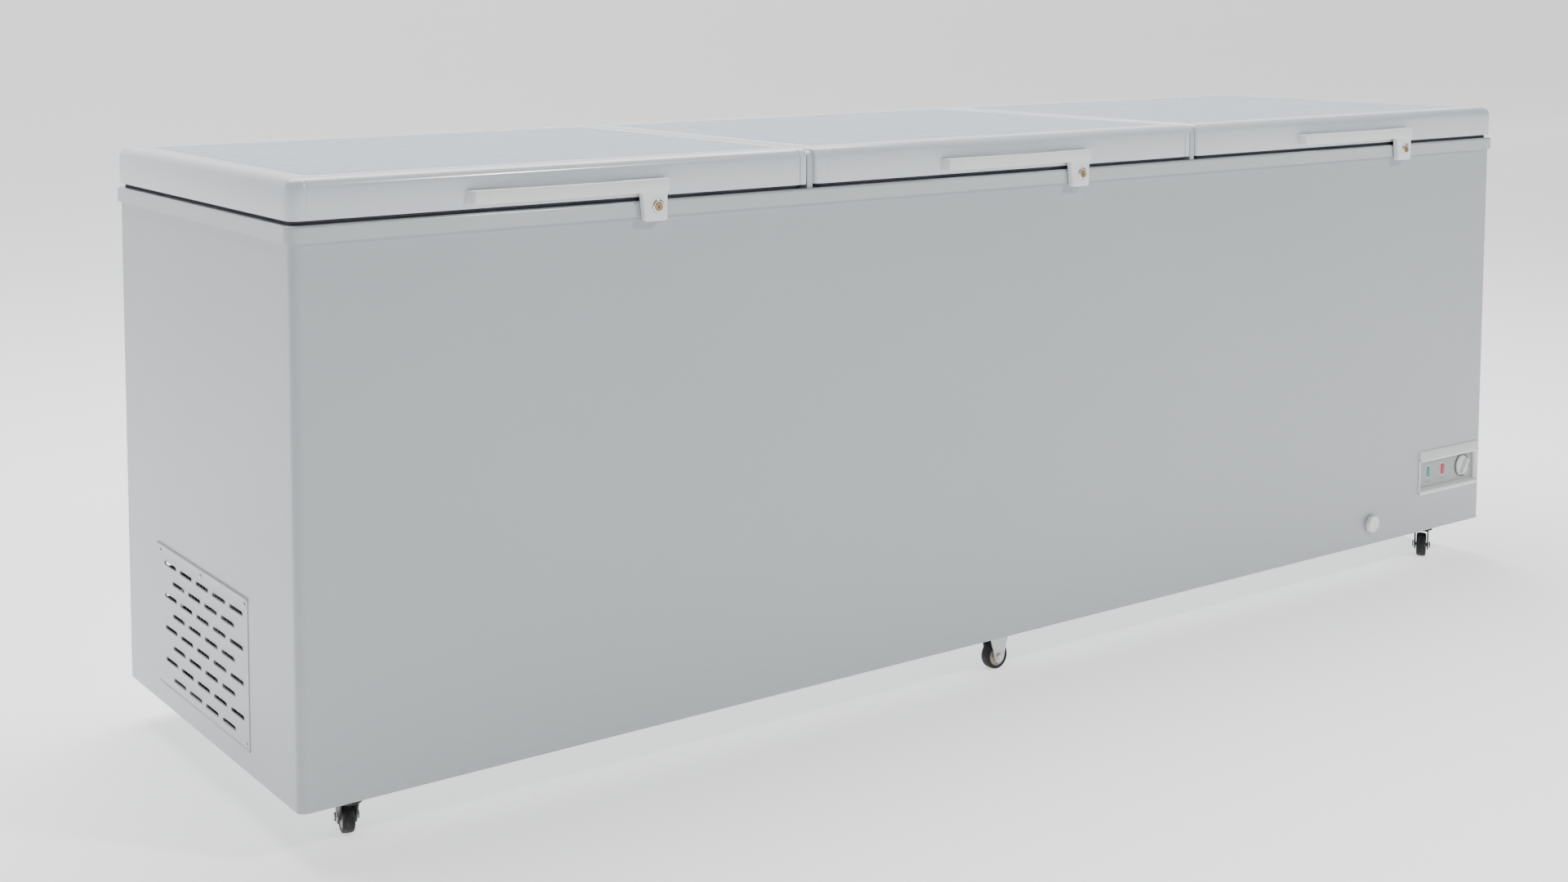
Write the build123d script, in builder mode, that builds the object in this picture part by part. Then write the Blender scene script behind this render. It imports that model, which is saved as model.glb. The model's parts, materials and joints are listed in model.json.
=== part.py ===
from build123d import *
import os
from math import cos, radians, sin, sqrt

# A three-lid, solid-top chest freezer on castors, used as an ice cream dipping cabinet.
# Millimetres.  X runs along the cabinet, the front faces -Y, Z is up.
# The origin is on the floor, at the centre of the plan outline.

# ---------------------------------------------------------------- driving sizes
body_length = 2788.0        # painted body, end to end
body_depth = 690.0          # painted body, front to back
body_height = 806.0         # painted body, bottom fold to breaker strip
ride_height = 80.0          # floor to the bottom fold of the body
corner_radius = 14.0        # upright corners of the body

sheet = 1.0                 # painted steel wrap
hem_width = 18.0            # fold under the body
seam_set_back = 10.0        # seams of the wrap behind its rounded corners
seam_gap = 0.2
top_fold = 20.0             # inward fold at the top of the wrap and of the tub
pan_sheet = 1.5             # base pan
liner_sheet = 1.0           # tub
wall_foam = 69.0            # insulation between wrap and tub
floor_foam = 86.0           # insulation between pan and tub floor
liner_radius = 18.0         # inside folds of the tub

rim_height = 24.0           # moulded breaker strip around the opening
rim_overhang = 6.0          # how far the strip stands out from the body
rim_lip = 3.0               # how far the strip reaches past the tub wall, inwards
rim_round = 4.0             # rounded edges of the strip
mullion_width = 84.0        # cross bar under two neighbouring lids
fin_width = 11.0            # upright cover strip between two lids
fin_drop = 5.0              # how far the fin stays below the lid tops

gasket_height = 6.5         # lid seal between strip and lid
gasket_width = 20.0
gasket_inset = 8.0          # seal from the edge of the lid
lid_thickness = 59.0
lid_overhang = 3.0          # how far a lid stands out from the body
lid_width = 907.0           # left and middle lid; the right one takes the rest
lid_slit = 15.0             # gap between two lids
lid_corner = 22.0           # plan corners of a lid
lid_round = 15.0            # rounded upper edge of a lid
lid_sheet = 1.2             # outer skin of a lid
lid_liner_sheet = 2.0       # moulded inner tray of a lid
plug_depth = 10.0           # the tray reaches this far below the top of the strip
plug_gap = 12.0             # tray to strip, all round

handle_length = 342.0
handle_height = 20.0
handle_lift = 7.5           # handle above the lower edge of the lid
handle_foot_depth = 15.0    # handle from the lid's face, at its ends
handle_bow = 6.0            # further bow at the middle
handle_bar = 8.0            # thickness of the grip
handle_left_foot = 54.0
handle_right_foot = 82.0
lock_width = 46.0           # lock housing that hangs from the right end
lock_drop = 45.0
lock_thickness = 9.5
lock_inset = 4.0            # housing from the end of the handle
lock_radius = 6.0
lock_rim_gap = 2.0          # housing to breaker strip
key_offset = 5.0            # barrel to the right of the housing's middle
key_drop = 22.0             # barrel below the handle
barrel_radius = 8.0
barrel_flange_radius = 10.0
barrel_proud = 1.5
tongue_length = 14.0        # flat tongue behind the barrel
tongue_height = 4.0
tongue_thickness = 2.0
tongue_shaft = 1.9
keeper_slot = 6.0           # notch in the breaker strip that lets the tongue out
keeper_wall = 2.2           # strip left in front of the tongue

hinge_width = 60.0
hinge_ear = 4.0
hinge_plate = 3.0
hinge_axis_back = 17.0      # pivot behind the back of the body
hinge_axis_rise = 8.0       # pivot above the lower edge of the lid
hinge_ear_radius = 9.0
hinge_base_height = 112.0
hinge_inset = 150.0         # hinge centre from the edge of a lid
hinge_arm_height = 40.0
knuckle_radius = 8.0
pin_radius = 4.0
pin_head_radius = 6.5
pin_head = 2.5

castor_inset_x = 106.0      # swivel centre from the end of the body
castor_inset_y = 66.0       # swivel centre from the front or back
fixed_castor_inset_y = 60.0
wheel_radius = 25.0
wheel_width = 19.0
hub_radius = 13.5
axle_radius = 4.0
axle_head_radius = 6.5
axle_head = 4.0
trail = 18.0                # axle behind the swivel centre
fork_gap = 23.0
fork_sheet = 2.5
fork_top_radius = 21.0
fork_clearance = 5.0        # tyre to the underside of the fork
castor_plate = 58.0
castor_plate_sheet = 3.0
castor_bolt_spacing = 44.0
castor_bolt_radius = 3.0
kingpin_radius = 5.0
kingpin_head_radius = 8.0
kingpin_head = 3.5
swivel_gap = 0.5
rail_width = 80.0
rail_height = 26.0
rail_sheet = 2.5

machine_length = 420.0      # machine bay inside the left end
machine_height = 300.0
machine_foam = 56.0         # insulation around the bay

grille_width = 367.0
grille_height = 231.0
grille_sheet = 1.2
grille_from_front = 173.0
grille_from_bottom = 34.0
grille_lap = 12.0           # grille over the edge of its window
grille_lip = 3.6            # folded edge at the top of the grille
grille_bead = 2.6           # raised line along its lower edge
grille_edge = 3.0           # width of the folded edge
slot_length = 51.0
slot_height = 6.5
slot_pitch = 67.0
row_pitch = 26.3
slot_rows = 8
slots_in_row = 5            # and one fewer in every second row
slot_shift = 6.0            # rows from the middle of the grille, towards the front
slot_rise = -4.0            # and below it
screw_radius = 2.0
screw_head_radius = 4.2
screw_head = 2.0
screw_length = 9.0
screw_drop = 12.0           # upper screws from the edges of the grille
lower_screw_rise = 8.0      # lower screw above the lower edge

bezel_length = 204.0
bezel_height = 94.0
bezel_from_right = 18.0     # bezel from the right end of the body
bezel_from_bottom = 79.0
bezel_face = 2.0
bezel_recess = 6.0          # face of the panel behind the body's front
bezel_hood = 9.0            # how far the upper hood stands out
bezel_hood_height = 20.0
bezel_lip = 6.0
bezel_lip_height = 9.5
bezel_cheek = 3.0
bezel_lap = 6.0             # bezel over the edge of its window
lamp_width = 14.0
lamp_height = 26.0
lamp_chamfer = 4.0
lamp_proud = 4.0
lamp_body = 22.0
green_lamp_x = 40.0         # from the left end of the bezel
red_lamp_x = 90.0
lamp_z = 45.0               # from the lower edge of the bezel
dial_x = 161.0
dial_z = 43.0
dial_ring_radius = 25.0
dial_ring_width = 2.2
dial_ring_height = 2.5
knob_radius = 21.0
knob_base = 4.0
knob_grip_width = 9.0
knob_grip_height = 12.0
knob_rest_deg = 55.0
shaft_radius = 3.0
thermostat_width = 42.0
thermostat_depth = 26.0
panel_pocket_depth = 52.0

drain_from_right = 383.0
drain_height = 45.0         # drain outlet above the bottom of the body
drain_tube_radius = 11.0
drain_bore = 9.0
drain_collar_radius = 15.0
drain_collar = 2.0
drain_nose = 6.0
drain_reach = 130.0         # outlet to the upright in the floor
drain_cap_radius = 17.5
drain_cap_depth = 9.0
drain_plug_radius = 15.0
drain_plug_stem = 14.0

coil_rings = 5
coil_height = 8.0
coil_depth = 8.0
coil_pitch = 80.0
coil_gap = 0.4
header_radius = 4.0

running_fit = 0.08          # radial, on every turning pair
touch_gap = 0.3             # between curved faces that should not bind
tiny = 0.01

# ---------------------------------------------------------------- places
handle_reach = handle_foot_depth + handle_bow + lid_overhang
hinge_reach = hinge_axis_back + hinge_ear_radius
left_x = -body_length / 2
right_x = body_length / 2
front_y = (handle_reach - hinge_reach - body_depth) / 2
back_y = front_y + body_depth
cabinet_y = (front_y + back_y) / 2
bottom_z = ride_height
top_z = bottom_z + body_height
rim_top_z = top_z + rim_height
lid_z = rim_top_z + gasket_height
lid_top_z = lid_z + lid_thickness
pan_z = bottom_z + sheet
floor_top_z = pan_z + pan_sheet

tub_wall = sheet + wall_foam
tub_length = body_length - 2 * tub_wall
tub_depth = body_depth - 2 * tub_wall
tub_floor_z = floor_top_z + floor_foam
bay_right_x = left_x + sheet + machine_length
bay_top_z = floor_top_z + machine_height
step_x = bay_right_x + machine_foam
step_z = bay_top_z + machine_foam
opening_length = tub_length - 2 * liner_sheet - 2 * rim_lip
opening_depth = tub_depth - 2 * liner_sheet - 2 * rim_lip

hinge_axis_y = back_y + hinge_axis_back
hinge_axis_z = lid_z + hinge_axis_rise
lid_depth = body_depth + 2 * lid_overhang
last_lid_width = body_length + 2 * lid_overhang - 2 * (lid_width + lid_slit)

lids = []
edge_x = left_x - lid_overhang
for width in (lid_width, lid_width, last_lid_width):
    lids.append((edge_x, edge_x + width))
    edge_x = edge_x + width + lid_slit
slit_centres = [lids[0][1] + lid_slit / 2, lids[1][1] + lid_slit / 2]

# name, x, y, angle of the rolling direction from +X
swivel_castors = (
    ("front_left", left_x + castor_inset_x, front_y + castor_inset_y, 75.0),
    ("front_right", right_x - castor_inset_x, front_y + castor_inset_y, 212.0),
    ("rear_left", left_x + castor_inset_x, back_y - castor_inset_y, 250.0),
    ("rear_right", right_x - castor_inset_x, back_y - castor_inset_y, 300.0),
)
fixed_castors = (
    ("front_middle", 0.0, front_y + fixed_castor_inset_y),
    ("rear_middle", 0.0, back_y - fixed_castor_inset_y),
)
castor_plate_z = pan_z - castor_plate_sheet
fork_top_z = 2 * wheel_radius + fork_clearance + fork_sheet
raceway_z = fork_top_z + swivel_gap


def level(z):
    """Horizontal plane at height z, centred on the cabinet."""
    return Plane((0, cabinet_y, z))


def front_plane(x, z, outward=0.0):
    """Upright plane on the front of the body: local x to the right, local y up."""
    return Plane((x, front_y - outward, z), x_dir=(1, 0, 0), z_dir=(0, -1, 0))


def left_plane(y, z, outward=0.0):
    """Upright plane on the left end: local x towards the front, local y up."""
    return Plane((left_x - outward, y, z), x_dir=(0, -1, 0), z_dir=(-1, 0, 0))


def side_plane(x):
    """Upright plane across the cabinet: local x to the back, local y up, extruding to +X."""
    return Plane((x, 0, 0), x_dir=(0, 1, 0), z_dir=(1, 0, 0))


def keep(sub_part, name):
    """Label a finished sub-part and write its STEP file."""
    sub_part.part.label = name
    export_step(sub_part.part, f"parts/{name}.step")


def tub_volume(inset):
    """The tub's shape, stepped over the machine bay, shrunk by inset on every side."""
    half = tub_length / 2 - inset
    with BuildPart() as tub:
        with BuildSketch(Plane((0, cabinet_y, 0), x_dir=(1, 0, 0), z_dir=(0, -1, 0))):
            with BuildLine():
                Polyline(
                    (-half, top_z + tiny),
                    (-half, step_z + inset),
                    (step_x + inset, step_z + inset),
                    (step_x + inset, tub_floor_z + inset),
                    (half, tub_floor_z + inset),
                    (half, top_z + tiny),
                    close=True,
                )
            make_face()
        extrude(amount=tub_depth / 2 - inset, both=True)
        upright = tub.edges().filter_by(Axis.Z)
        fillet(upright, liner_radius - inset)
    return tub.part


tub_outside = tub_volume(0)
tub_inside = tub_volume(liner_sheet)

# ---------------------------------------------------------------- painted body
os.makedirs("parts", exist_ok=True)

grille_y = front_y + grille_from_front + grille_width / 2
grille_z = bottom_z + grille_from_bottom + grille_height / 2
grille_screw_z = grille_height / 2 - screw_drop
screw_x = grille_width / 2 - screw_drop
screw_spots = [(x, grille_screw_z) for x in (-screw_x, 0, screw_x)]
screw_spots.append((screw_x, lower_screw_rise - grille_height / 2))
bezel_x = right_x - bezel_from_right - bezel_length / 2
bezel_z = bottom_z + bezel_from_bottom
bezel_mid_z = bezel_z + bezel_height / 2
window_length = bezel_length - 2 * bezel_lap
window_height = bezel_height - 2 * bezel_lap
drain_x = right_x - drain_from_right
drain_z = bottom_z + drain_height
gland_x = left_x + machine_length / 2
gland_z = floor_top_z + 60.0
gland_radius = 8.0
rear_slot_z = floor_top_z + machine_height / 2

with BuildPart() as wrap:
    with BuildSketch(level(bottom_z)):
        RectangleRounded(body_length, body_depth, corner_radius)
        inner = (body_length - 2 * sheet, body_depth - 2 * sheet)
        RectangleRounded(*inner, corner_radius - sheet, mode=Mode.SUBTRACT)
    extrude(amount=body_height)
    with BuildSketch(level(bottom_z)):
        RectangleRounded(body_length, body_depth, corner_radius)
        Rectangle(body_length - 2 * hem_width, body_depth - 2 * hem_width, mode=Mode.SUBTRACT)
    extrude(amount=sheet)
    with BuildSketch(level(top_z - sheet)):
        RectangleRounded(body_length, body_depth, corner_radius)
        Rectangle(body_length - 2 * top_fold, body_depth - 2 * top_fold, mode=Mode.SUBTRACT)
    extrude(amount=sheet)
    with BuildSketch(left_plane(grille_y, grille_z)):
        Rectangle(grille_width - 2 * grille_lap, grille_height - 2 * screw_drop - 10)
        with Locations(*screw_spots):
            Circle(screw_radius + tiny)
    extrude(amount=-2 * sheet, mode=Mode.SUBTRACT)
    with BuildSketch(front_plane(bezel_x, bezel_mid_z)):
        Rectangle(window_length, window_height)
    extrude(amount=-2 * sheet, mode=Mode.SUBTRACT)
    with BuildSketch(front_plane(drain_x, drain_z)):
        Circle(drain_tube_radius)
    extrude(amount=-2 * sheet, mode=Mode.SUBTRACT)
    with BuildSketch(Plane((gland_x, back_y, gland_z), x_dir=(1, 0, 0), z_dir=(0, -1, 0))):
        Circle(gland_radius)
    extrude(amount=2 * sheet, mode=Mode.SUBTRACT)
    with BuildSketch(Plane((gland_x, back_y, rear_slot_z), x_dir=(1, 0, 0), z_dir=(0, -1, 0))):
        with GridLocations(machine_length / 4, row_pitch, 3, 5):
            SlotOverall(machine_length / 5, slot_height)
    extrude(amount=2 * sheet, mode=Mode.SUBTRACT)



def wrap_sheet(low_x, high_x, low_y, high_y):
    """The stretch of the wrap inside one plan rectangle."""
    with BuildPart() as stretch:
        with BuildSketch(level(bottom_z)):
            with Locations(((low_x + high_x) / 2, (low_y + high_y) / 2)):
                Rectangle(high_x - low_x, high_y - low_y)
        extrude(amount=body_height)
        add(wrap.part, mode=Mode.INTERSECT)
    return stretch.part


# four sheets, seamed just behind the rounded corners
seam_y = body_depth / 2 - corner_radius - seam_set_back
end_y = seam_y - seam_gap
with BuildPart() as outer_shell:
    add(wrap_sheet(left_x, right_x, -body_depth / 2, -seam_y))
    add(wrap_sheet(left_x, right_x, seam_y, body_depth / 2))
    add(wrap_sheet(left_x, 0, -end_y, end_y))
    add(wrap_sheet(0, right_x, -end_y, end_y))
keep(outer_shell, "outer_shell")

castor_spots = [(x, y) for _, x, y, _ in swivel_castors] + [(x, y) for _, x, y in fixed_castors]
bolt_spots = [
    (x + dx, y + dy)
    for x, y in castor_spots
    for dx in (-castor_bolt_spacing / 2, castor_bolt_spacing / 2)
    for dy in (-castor_bolt_spacing / 2, castor_bolt_spacing / 2)
]
pan_corner = corner_radius - sheet
with BuildPart() as base_pan:
    with BuildSketch(level(pan_z)):
        RectangleRounded(body_length - 2 * sheet, body_depth - 2 * sheet, pan_corner)
        with Locations((bay_right_x - machine_length / 2, 0)):
            with GridLocations(machine_length / 4, row_pitch, 2, 5):
                SlotOverall(machine_length / 6, slot_height, mode=Mode.SUBTRACT)
    extrude(amount=pan_sheet)
    with BuildSketch(Plane.XY.offset(pan_z)):
        with Locations(*bolt_spots):
            Circle(castor_bolt_radius)
    extrude(amount=pan_sheet, mode=Mode.SUBTRACT)
keep(base_pan, "base_pan")

rail_length = body_depth - 2 * sheet - 10
rail_xs = [left_x + castor_inset_x, 0.0, right_x - castor_inset_x]
with BuildPart() as base_rails:
    with BuildSketch(level(floor_top_z)):
        with Locations(*[(x, 0) for x in rail_xs]):
            Rectangle(rail_width, rail_length)
    extrude(amount=rail_height)
    with BuildSketch(level(floor_top_z + rail_sheet)):
        with Locations(*[(x, 0) for x in rail_xs]):
            Rectangle(rail_width - 2 * rail_sheet, rail_length)
    extrude(amount=rail_height, mode=Mode.SUBTRACT)
    with BuildSketch(Plane.XY.offset(floor_top_z)):
        with Locations(*bolt_spots):
            Circle(castor_bolt_radius)
    extrude(amount=rail_sheet, mode=Mode.SUBTRACT)
keep(base_rails, "base_rails")

# ---------------------------------------------------------------- tub and insulation
coil_z = [step_z + 50.0 + i * coil_pitch for i in range(coil_rings)]
coil_inner = (tub_length + 2 * coil_gap, tub_depth + 2 * coil_gap)
coil_outer = (coil_inner[0] + 2 * coil_depth, coil_inner[1] + 2 * coil_depth)
coil_corner = liner_radius + coil_gap
header_x = -tub_length / 2 - coil_gap - coil_depth / 2
header_ys = (cabinet_y + 60.0, cabinet_y + 120.0)
header_bottom_z = bay_top_z - 20.0
upright_y = front_y + drain_reach
drain_plug_seat_z = tub_floor_z + liner_sheet

with BuildPart() as cabinet_foam:
    with BuildSketch(level(floor_top_z)):
        RectangleRounded(body_length - 2 * sheet, body_depth - 2 * sheet, pan_corner)
    extrude(amount=top_z - sheet - floor_top_z)
    add(tub_outside, mode=Mode.SUBTRACT)
    with BuildSketch(level(floor_top_z)):
        with Locations((left_x + sheet + machine_length / 2, 0)):
            Rectangle(machine_length + tiny, body_depth)
    extrude(amount=machine_height, mode=Mode.SUBTRACT)
    with BuildSketch(level(floor_top_z)):
        with Locations(*[(x, 0) for x in rail_xs[1:]]):
            Rectangle(rail_width, body_depth)
    extrude(amount=rail_height, mode=Mode.SUBTRACT)
    with BuildSketch(front_plane(bezel_x, bezel_mid_z)):
        Rectangle(window_length, window_height)
    extrude(amount=-panel_pocket_depth, mode=Mode.SUBTRACT)
    with BuildSketch(front_plane(drain_x, drain_z)):
        Circle(drain_tube_radius)
    extrude(amount=-(drain_reach + drain_tube_radius), mode=Mode.SUBTRACT)
    with BuildSketch(Plane((drain_x, upright_y, drain_z))):
        Circle(drain_tube_radius)
    extrude(amount=tub_floor_z - drain_z, mode=Mode.SUBTRACT)
    for z in coil_z:
        with BuildSketch(level(z)):
            RectangleRounded(*coil_outer, coil_corner + coil_depth)
        extrude(amount=coil_height, mode=Mode.SUBTRACT)
    with BuildSketch(Plane.XY.offset(header_bottom_z)):
        with Locations(*[(header_x, y) for y in header_ys]):
            Circle(header_radius)
    extrude(amount=coil_z[-1] - header_bottom_z, mode=Mode.SUBTRACT)
keep(cabinet_foam, "cabinet_foam")

with BuildPart() as inner_liner:
    add(tub_outside)
    with BuildSketch(level(top_z)):
        Rectangle(body_length, body_depth)
    extrude(amount=1, mode=Mode.SUBTRACT)
    with BuildSketch(level(top_z - sheet)):
        RectangleRounded(tub_length + 2 * top_fold, tub_depth + 2 * top_fold, liner_radius)
    extrude(amount=sheet)
    add(tub_inside, mode=Mode.SUBTRACT)
    with BuildSketch(Plane((drain_x, upright_y, tub_floor_z))):
        Circle(drain_bore)
    extrude(amount=liner_sheet, mode=Mode.SUBTRACT)
keep(inner_liner, "inner_liner")

with BuildPart() as evaporator_coil:
    for z in coil_z:
        with BuildSketch(level(z)):
            RectangleRounded(*coil_outer, coil_corner + coil_depth)
            RectangleRounded(*coil_inner, coil_corner, mode=Mode.SUBTRACT)
        extrude(amount=coil_height)
    with BuildSketch(Plane.XY.offset(header_bottom_z)):
        with Locations(*[(header_x, y) for y in header_ys]):
            Circle(header_radius)
    extrude(amount=coil_z[-1] - header_bottom_z + coil_height / 2)
keep(evaporator_coil, "evaporator_coil")

# ---------------------------------------------------------------- breaker strip and cross bars
handle_centres = [(x0 + x1) / 2 for x0, x1 in lids]
key_shift = handle_length / 2 - lock_inset - lock_width / 2 + key_offset
key_xs = [x + key_shift for x in handle_centres]
handle_z = lid_z + handle_lift
key_z = handle_z - key_drop
tongue_room = tongue_length / 2 + 1.5
tongue_back_y = front_y - rim_overhang + keeper_wall + 1.0 + tongue_thickness

with BuildPart() as top_rim:
    with BuildSketch(level(top_z)):
        outer = (body_length + 2 * rim_overhang, body_depth + 2 * rim_overhang)
        RectangleRounded(*outer, corner_radius + rim_overhang)
        RectangleRounded(opening_length, opening_depth, liner_radius, mode=Mode.SUBTRACT)
    extrude(amount=rim_height)
    top_loops = top_rim.faces().sort_by(Axis.Z)[-1].edges()
    fillet(top_loops, rim_round)
    for key_x in key_xs:
        with BuildSketch(Plane((key_x, front_y - rim_overhang, rim_top_z), x_dir=(1, 0, 0))):
            with Locations((0, keeper_wall / 2)):
                Rectangle(keeper_slot, keeper_wall + 1)
        extrude(amount=-(rim_top_z - key_z + tongue_shaft + 1.5), mode=Mode.SUBTRACT)
        pocket = tongue_back_y + 2.0 - (front_y - rim_overhang + keeper_wall)
        with BuildSketch(Plane((key_x, front_y - rim_overhang + keeper_wall, 0), x_dir=(1, 0, 0),
                               z_dir=(0, 1, 0))):
            with Locations((0, -key_z)):
                Rectangle(2 * tongue_room, 2 * tongue_room - 1)
        extrude(amount=pocket, mode=Mode.SUBTRACT)
        with BuildSketch(Plane((key_x, front_y - rim_overhang + keeper_wall, rim_top_z),
                               x_dir=(1, 0, 0))):
            with Locations((0, pocket / 2)):
                Rectangle(keeper_slot, pocket)
        extrude(amount=-(rim_top_z - key_z), mode=Mode.SUBTRACT)
keep(top_rim, "top_rim")

fin_depth = body_depth - 2.0
fin_top_z = lid_top_z - fin_drop
with BuildPart() as mullions:
    with BuildSketch(level(rim_top_z - rim_height)):
        with Locations(*[(x, 0) for x in slit_centres]):
            Rectangle(mullion_width, opening_depth)
    extrude(amount=rim_height)
    with BuildSketch(level(rim_top_z)):
        with Locations(*[(x, 0) for x in slit_centres]):
            Rectangle(fin_width, fin_depth)
    extrude(amount=fin_top_z - rim_top_z)
    fin_ends = mullions.faces().filter_by(Axis.Y).edges().filter_by(Axis.X)
    fillet(fin_ends.group_by(Axis.Z)[-1], lid_round)
keep(mullions, "mullions")

# ---------------------------------------------------------------- vent grille
with BuildPart() as vent_grille:
    with BuildSketch(left_plane(grille_y, grille_z)):
        Rectangle(grille_width, grille_height)
    extrude(amount=grille_sheet)
    with BuildSketch(left_plane(grille_y, grille_z)):
        with Locations((0, (grille_height - grille_edge) / 2)):
            Rectangle(grille_width, grille_edge)
    extrude(amount=grille_lip)
    with BuildSketch(left_plane(grille_y, grille_z)):
        with Locations((0, (grille_edge - grille_height) / 2)):
            Rectangle(grille_width, grille_edge)
    extrude(amount=grille_bead)
    first_row = (slot_rows - 1) * row_pitch / 2 + slot_rise
    with BuildSketch(left_plane(grille_y, grille_z)):
        for row in range(slot_rows):
            with Locations((slot_shift, first_row - row * row_pitch)):
                with GridLocations(slot_pitch, 1, slots_in_row - row % 2, 1):
                    SlotOverall(slot_length, slot_height)
        with Locations(*screw_spots):
            Circle(screw_radius + tiny)
    extrude(amount=grille_lip, mode=Mode.SUBTRACT)
keep(vent_grille, "vent_grille")

with BuildPart() as grille_screws:
    with BuildSketch(left_plane(grille_y, grille_z, grille_sheet)):
        with Locations(*screw_spots):
            Circle(screw_head_radius)
    extrude(amount=screw_head)
    fillet(grille_screws.faces().sort_by(Axis.X)[:len(screw_spots)].edges(), screw_head / 2)
    with BuildSketch(left_plane(grille_y, grille_z, grille_sheet)):
        with Locations(*screw_spots):
            Circle(screw_radius)
    extrude(amount=-screw_length)
keep(grille_screws, "grille_screws")

# ---------------------------------------------------------------- control panel
bezel_left = bezel_x - bezel_length / 2


def panel_spot(along, up):
    """Place on the panel, from its middle, for distances from its lower left corner."""
    return (along - bezel_length / 2, up - bezel_height / 2)


face_back = bezel_recess + bezel_face
with BuildPart() as control_bezel:
    with BuildSketch(side_plane(bezel_left)):
        with BuildLine():
            Polyline(
                (front_y, bezel_z),
                (front_y - bezel_lip + 1.5, bezel_z),
                (front_y - bezel_lip, bezel_z + 2),
                (front_y - bezel_lip, bezel_z + bezel_lip_height - 2),
                (front_y - bezel_lip + 2, bezel_z + bezel_lip_height),
                (front_y + bezel_recess, bezel_z + bezel_lip_height + 2),
                (front_y + bezel_recess, bezel_z + bezel_height - bezel_hood_height - 2),
                (front_y - bezel_hood + 1, bezel_z + bezel_height - bezel_hood_height - 1),
                (front_y - bezel_hood, bezel_z + bezel_height - bezel_hood_height + 1),
                (front_y - 2.5, bezel_z + bezel_height - 1),
                (front_y, bezel_z + bezel_height),
                (front_y, bezel_z + bezel_height - bezel_lap),
                (front_y + face_back, bezel_z + bezel_height - bezel_lap),
                (front_y + face_back, bezel_z + bezel_lap),
                (front_y, bezel_z + bezel_lap),
                close=True,
            )
        make_face()
    extrude(amount=bezel_length)
    with BuildSketch(front_plane(bezel_x, bezel_mid_z, 2.5)):
        Rectangle(bezel_length, bezel_height - 4)
        Rectangle(bezel_length - 2 * bezel_cheek, bezel_height - 4, mode=Mode.SUBTRACT)
    extrude(amount=-2.5)
    with BuildSketch(front_plane(bezel_x, bezel_mid_z)):
        Rectangle(window_length, window_height)
        Rectangle(window_length - 2 * bezel_cheek, window_height, mode=Mode.SUBTRACT)
    extrude(amount=-face_back)
    for side in (-1, 1):
        cheek_x = bezel_x + side * (bezel_length / 2 - bezel_lap / 2)
        with BuildSketch(Plane((cheek_x, front_y, bezel_mid_z), x_dir=(1, 0, 0), z_dir=(0, 1, 0))):
            Rectangle(bezel_lap, bezel_height)
        extrude(amount=face_back, mode=Mode.SUBTRACT)
    with BuildSketch(front_plane(bezel_x, bezel_mid_z, -bezel_recess)):
        with Locations(panel_spot(dial_x, dial_z)):
            Circle(dial_ring_radius)
            Circle(dial_ring_radius - dial_ring_width, mode=Mode.SUBTRACT)
    extrude(amount=dial_ring_height)
    with BuildSketch(front_plane(bezel_x, bezel_mid_z, -bezel_recess)):
        with Locations(panel_spot(green_lamp_x, lamp_z), panel_spot(red_lamp_x, lamp_z)):
            Rectangle(lamp_width - 4, lamp_height - 4)
        with Locations(panel_spot(dial_x, dial_z)):
            Circle(shaft_radius + running_fit)
    extrude(amount=-bezel_face, mode=Mode.SUBTRACT)
keep(control_bezel, "control_bezel")


def signal_lamp(along, name):
    """Lens with clipped ends on the panel, and its holder behind it."""
    with BuildPart() as lamp:
        with BuildSketch(front_plane(bezel_x, bezel_mid_z, -bezel_recess)) as lens:
            with Locations(panel_spot(along, lamp_z)):
                Rectangle(lamp_width, lamp_height)
            chamfer(lens.vertices(), lamp_chamfer)
        extrude(amount=lamp_proud)
        chamfer(lamp.faces().sort_by(Axis.Y)[0].edges(), 1.0)
        with BuildSketch(front_plane(bezel_x, bezel_mid_z, -bezel_recess)):
            with Locations(panel_spot(along, lamp_z)):
                Rectangle(lamp_width - 4 - touch_gap, lamp_height - 4 - touch_gap)
        extrude(amount=-lamp_body)
    keep(lamp, name)


signal_lamp(green_lamp_x, "lamp_green")
signal_lamp(red_lamp_x, "lamp_red")

thermostat_bore = 12.0
with BuildPart() as thermostat:
    with BuildSketch(front_plane(bezel_x, bezel_mid_z, -face_back)) as case:
        with Locations(panel_spot(dial_x, dial_z)):
            Rectangle(thermostat_width, thermostat_width)
        fillet(case.vertices(), 4)
    extrude(amount=-thermostat_depth)
    with BuildSketch(front_plane(bezel_x, bezel_mid_z, -face_back)):
        with Locations(panel_spot(dial_x, dial_z)):
            Circle(shaft_radius + running_fit)
    extrude(amount=-thermostat_bore, mode=Mode.SUBTRACT)
    with BuildSketch(front_plane(bezel_x, bezel_mid_z, -face_back - thermostat_depth)):
        with Locations(*[panel_spot(dial_x + dx, dial_z) for dx in (-10, 0, 10)]):
            Rectangle(6.3, 0.8)
    extrude(amount=-8)
keep(thermostat, "thermostat")

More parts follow.
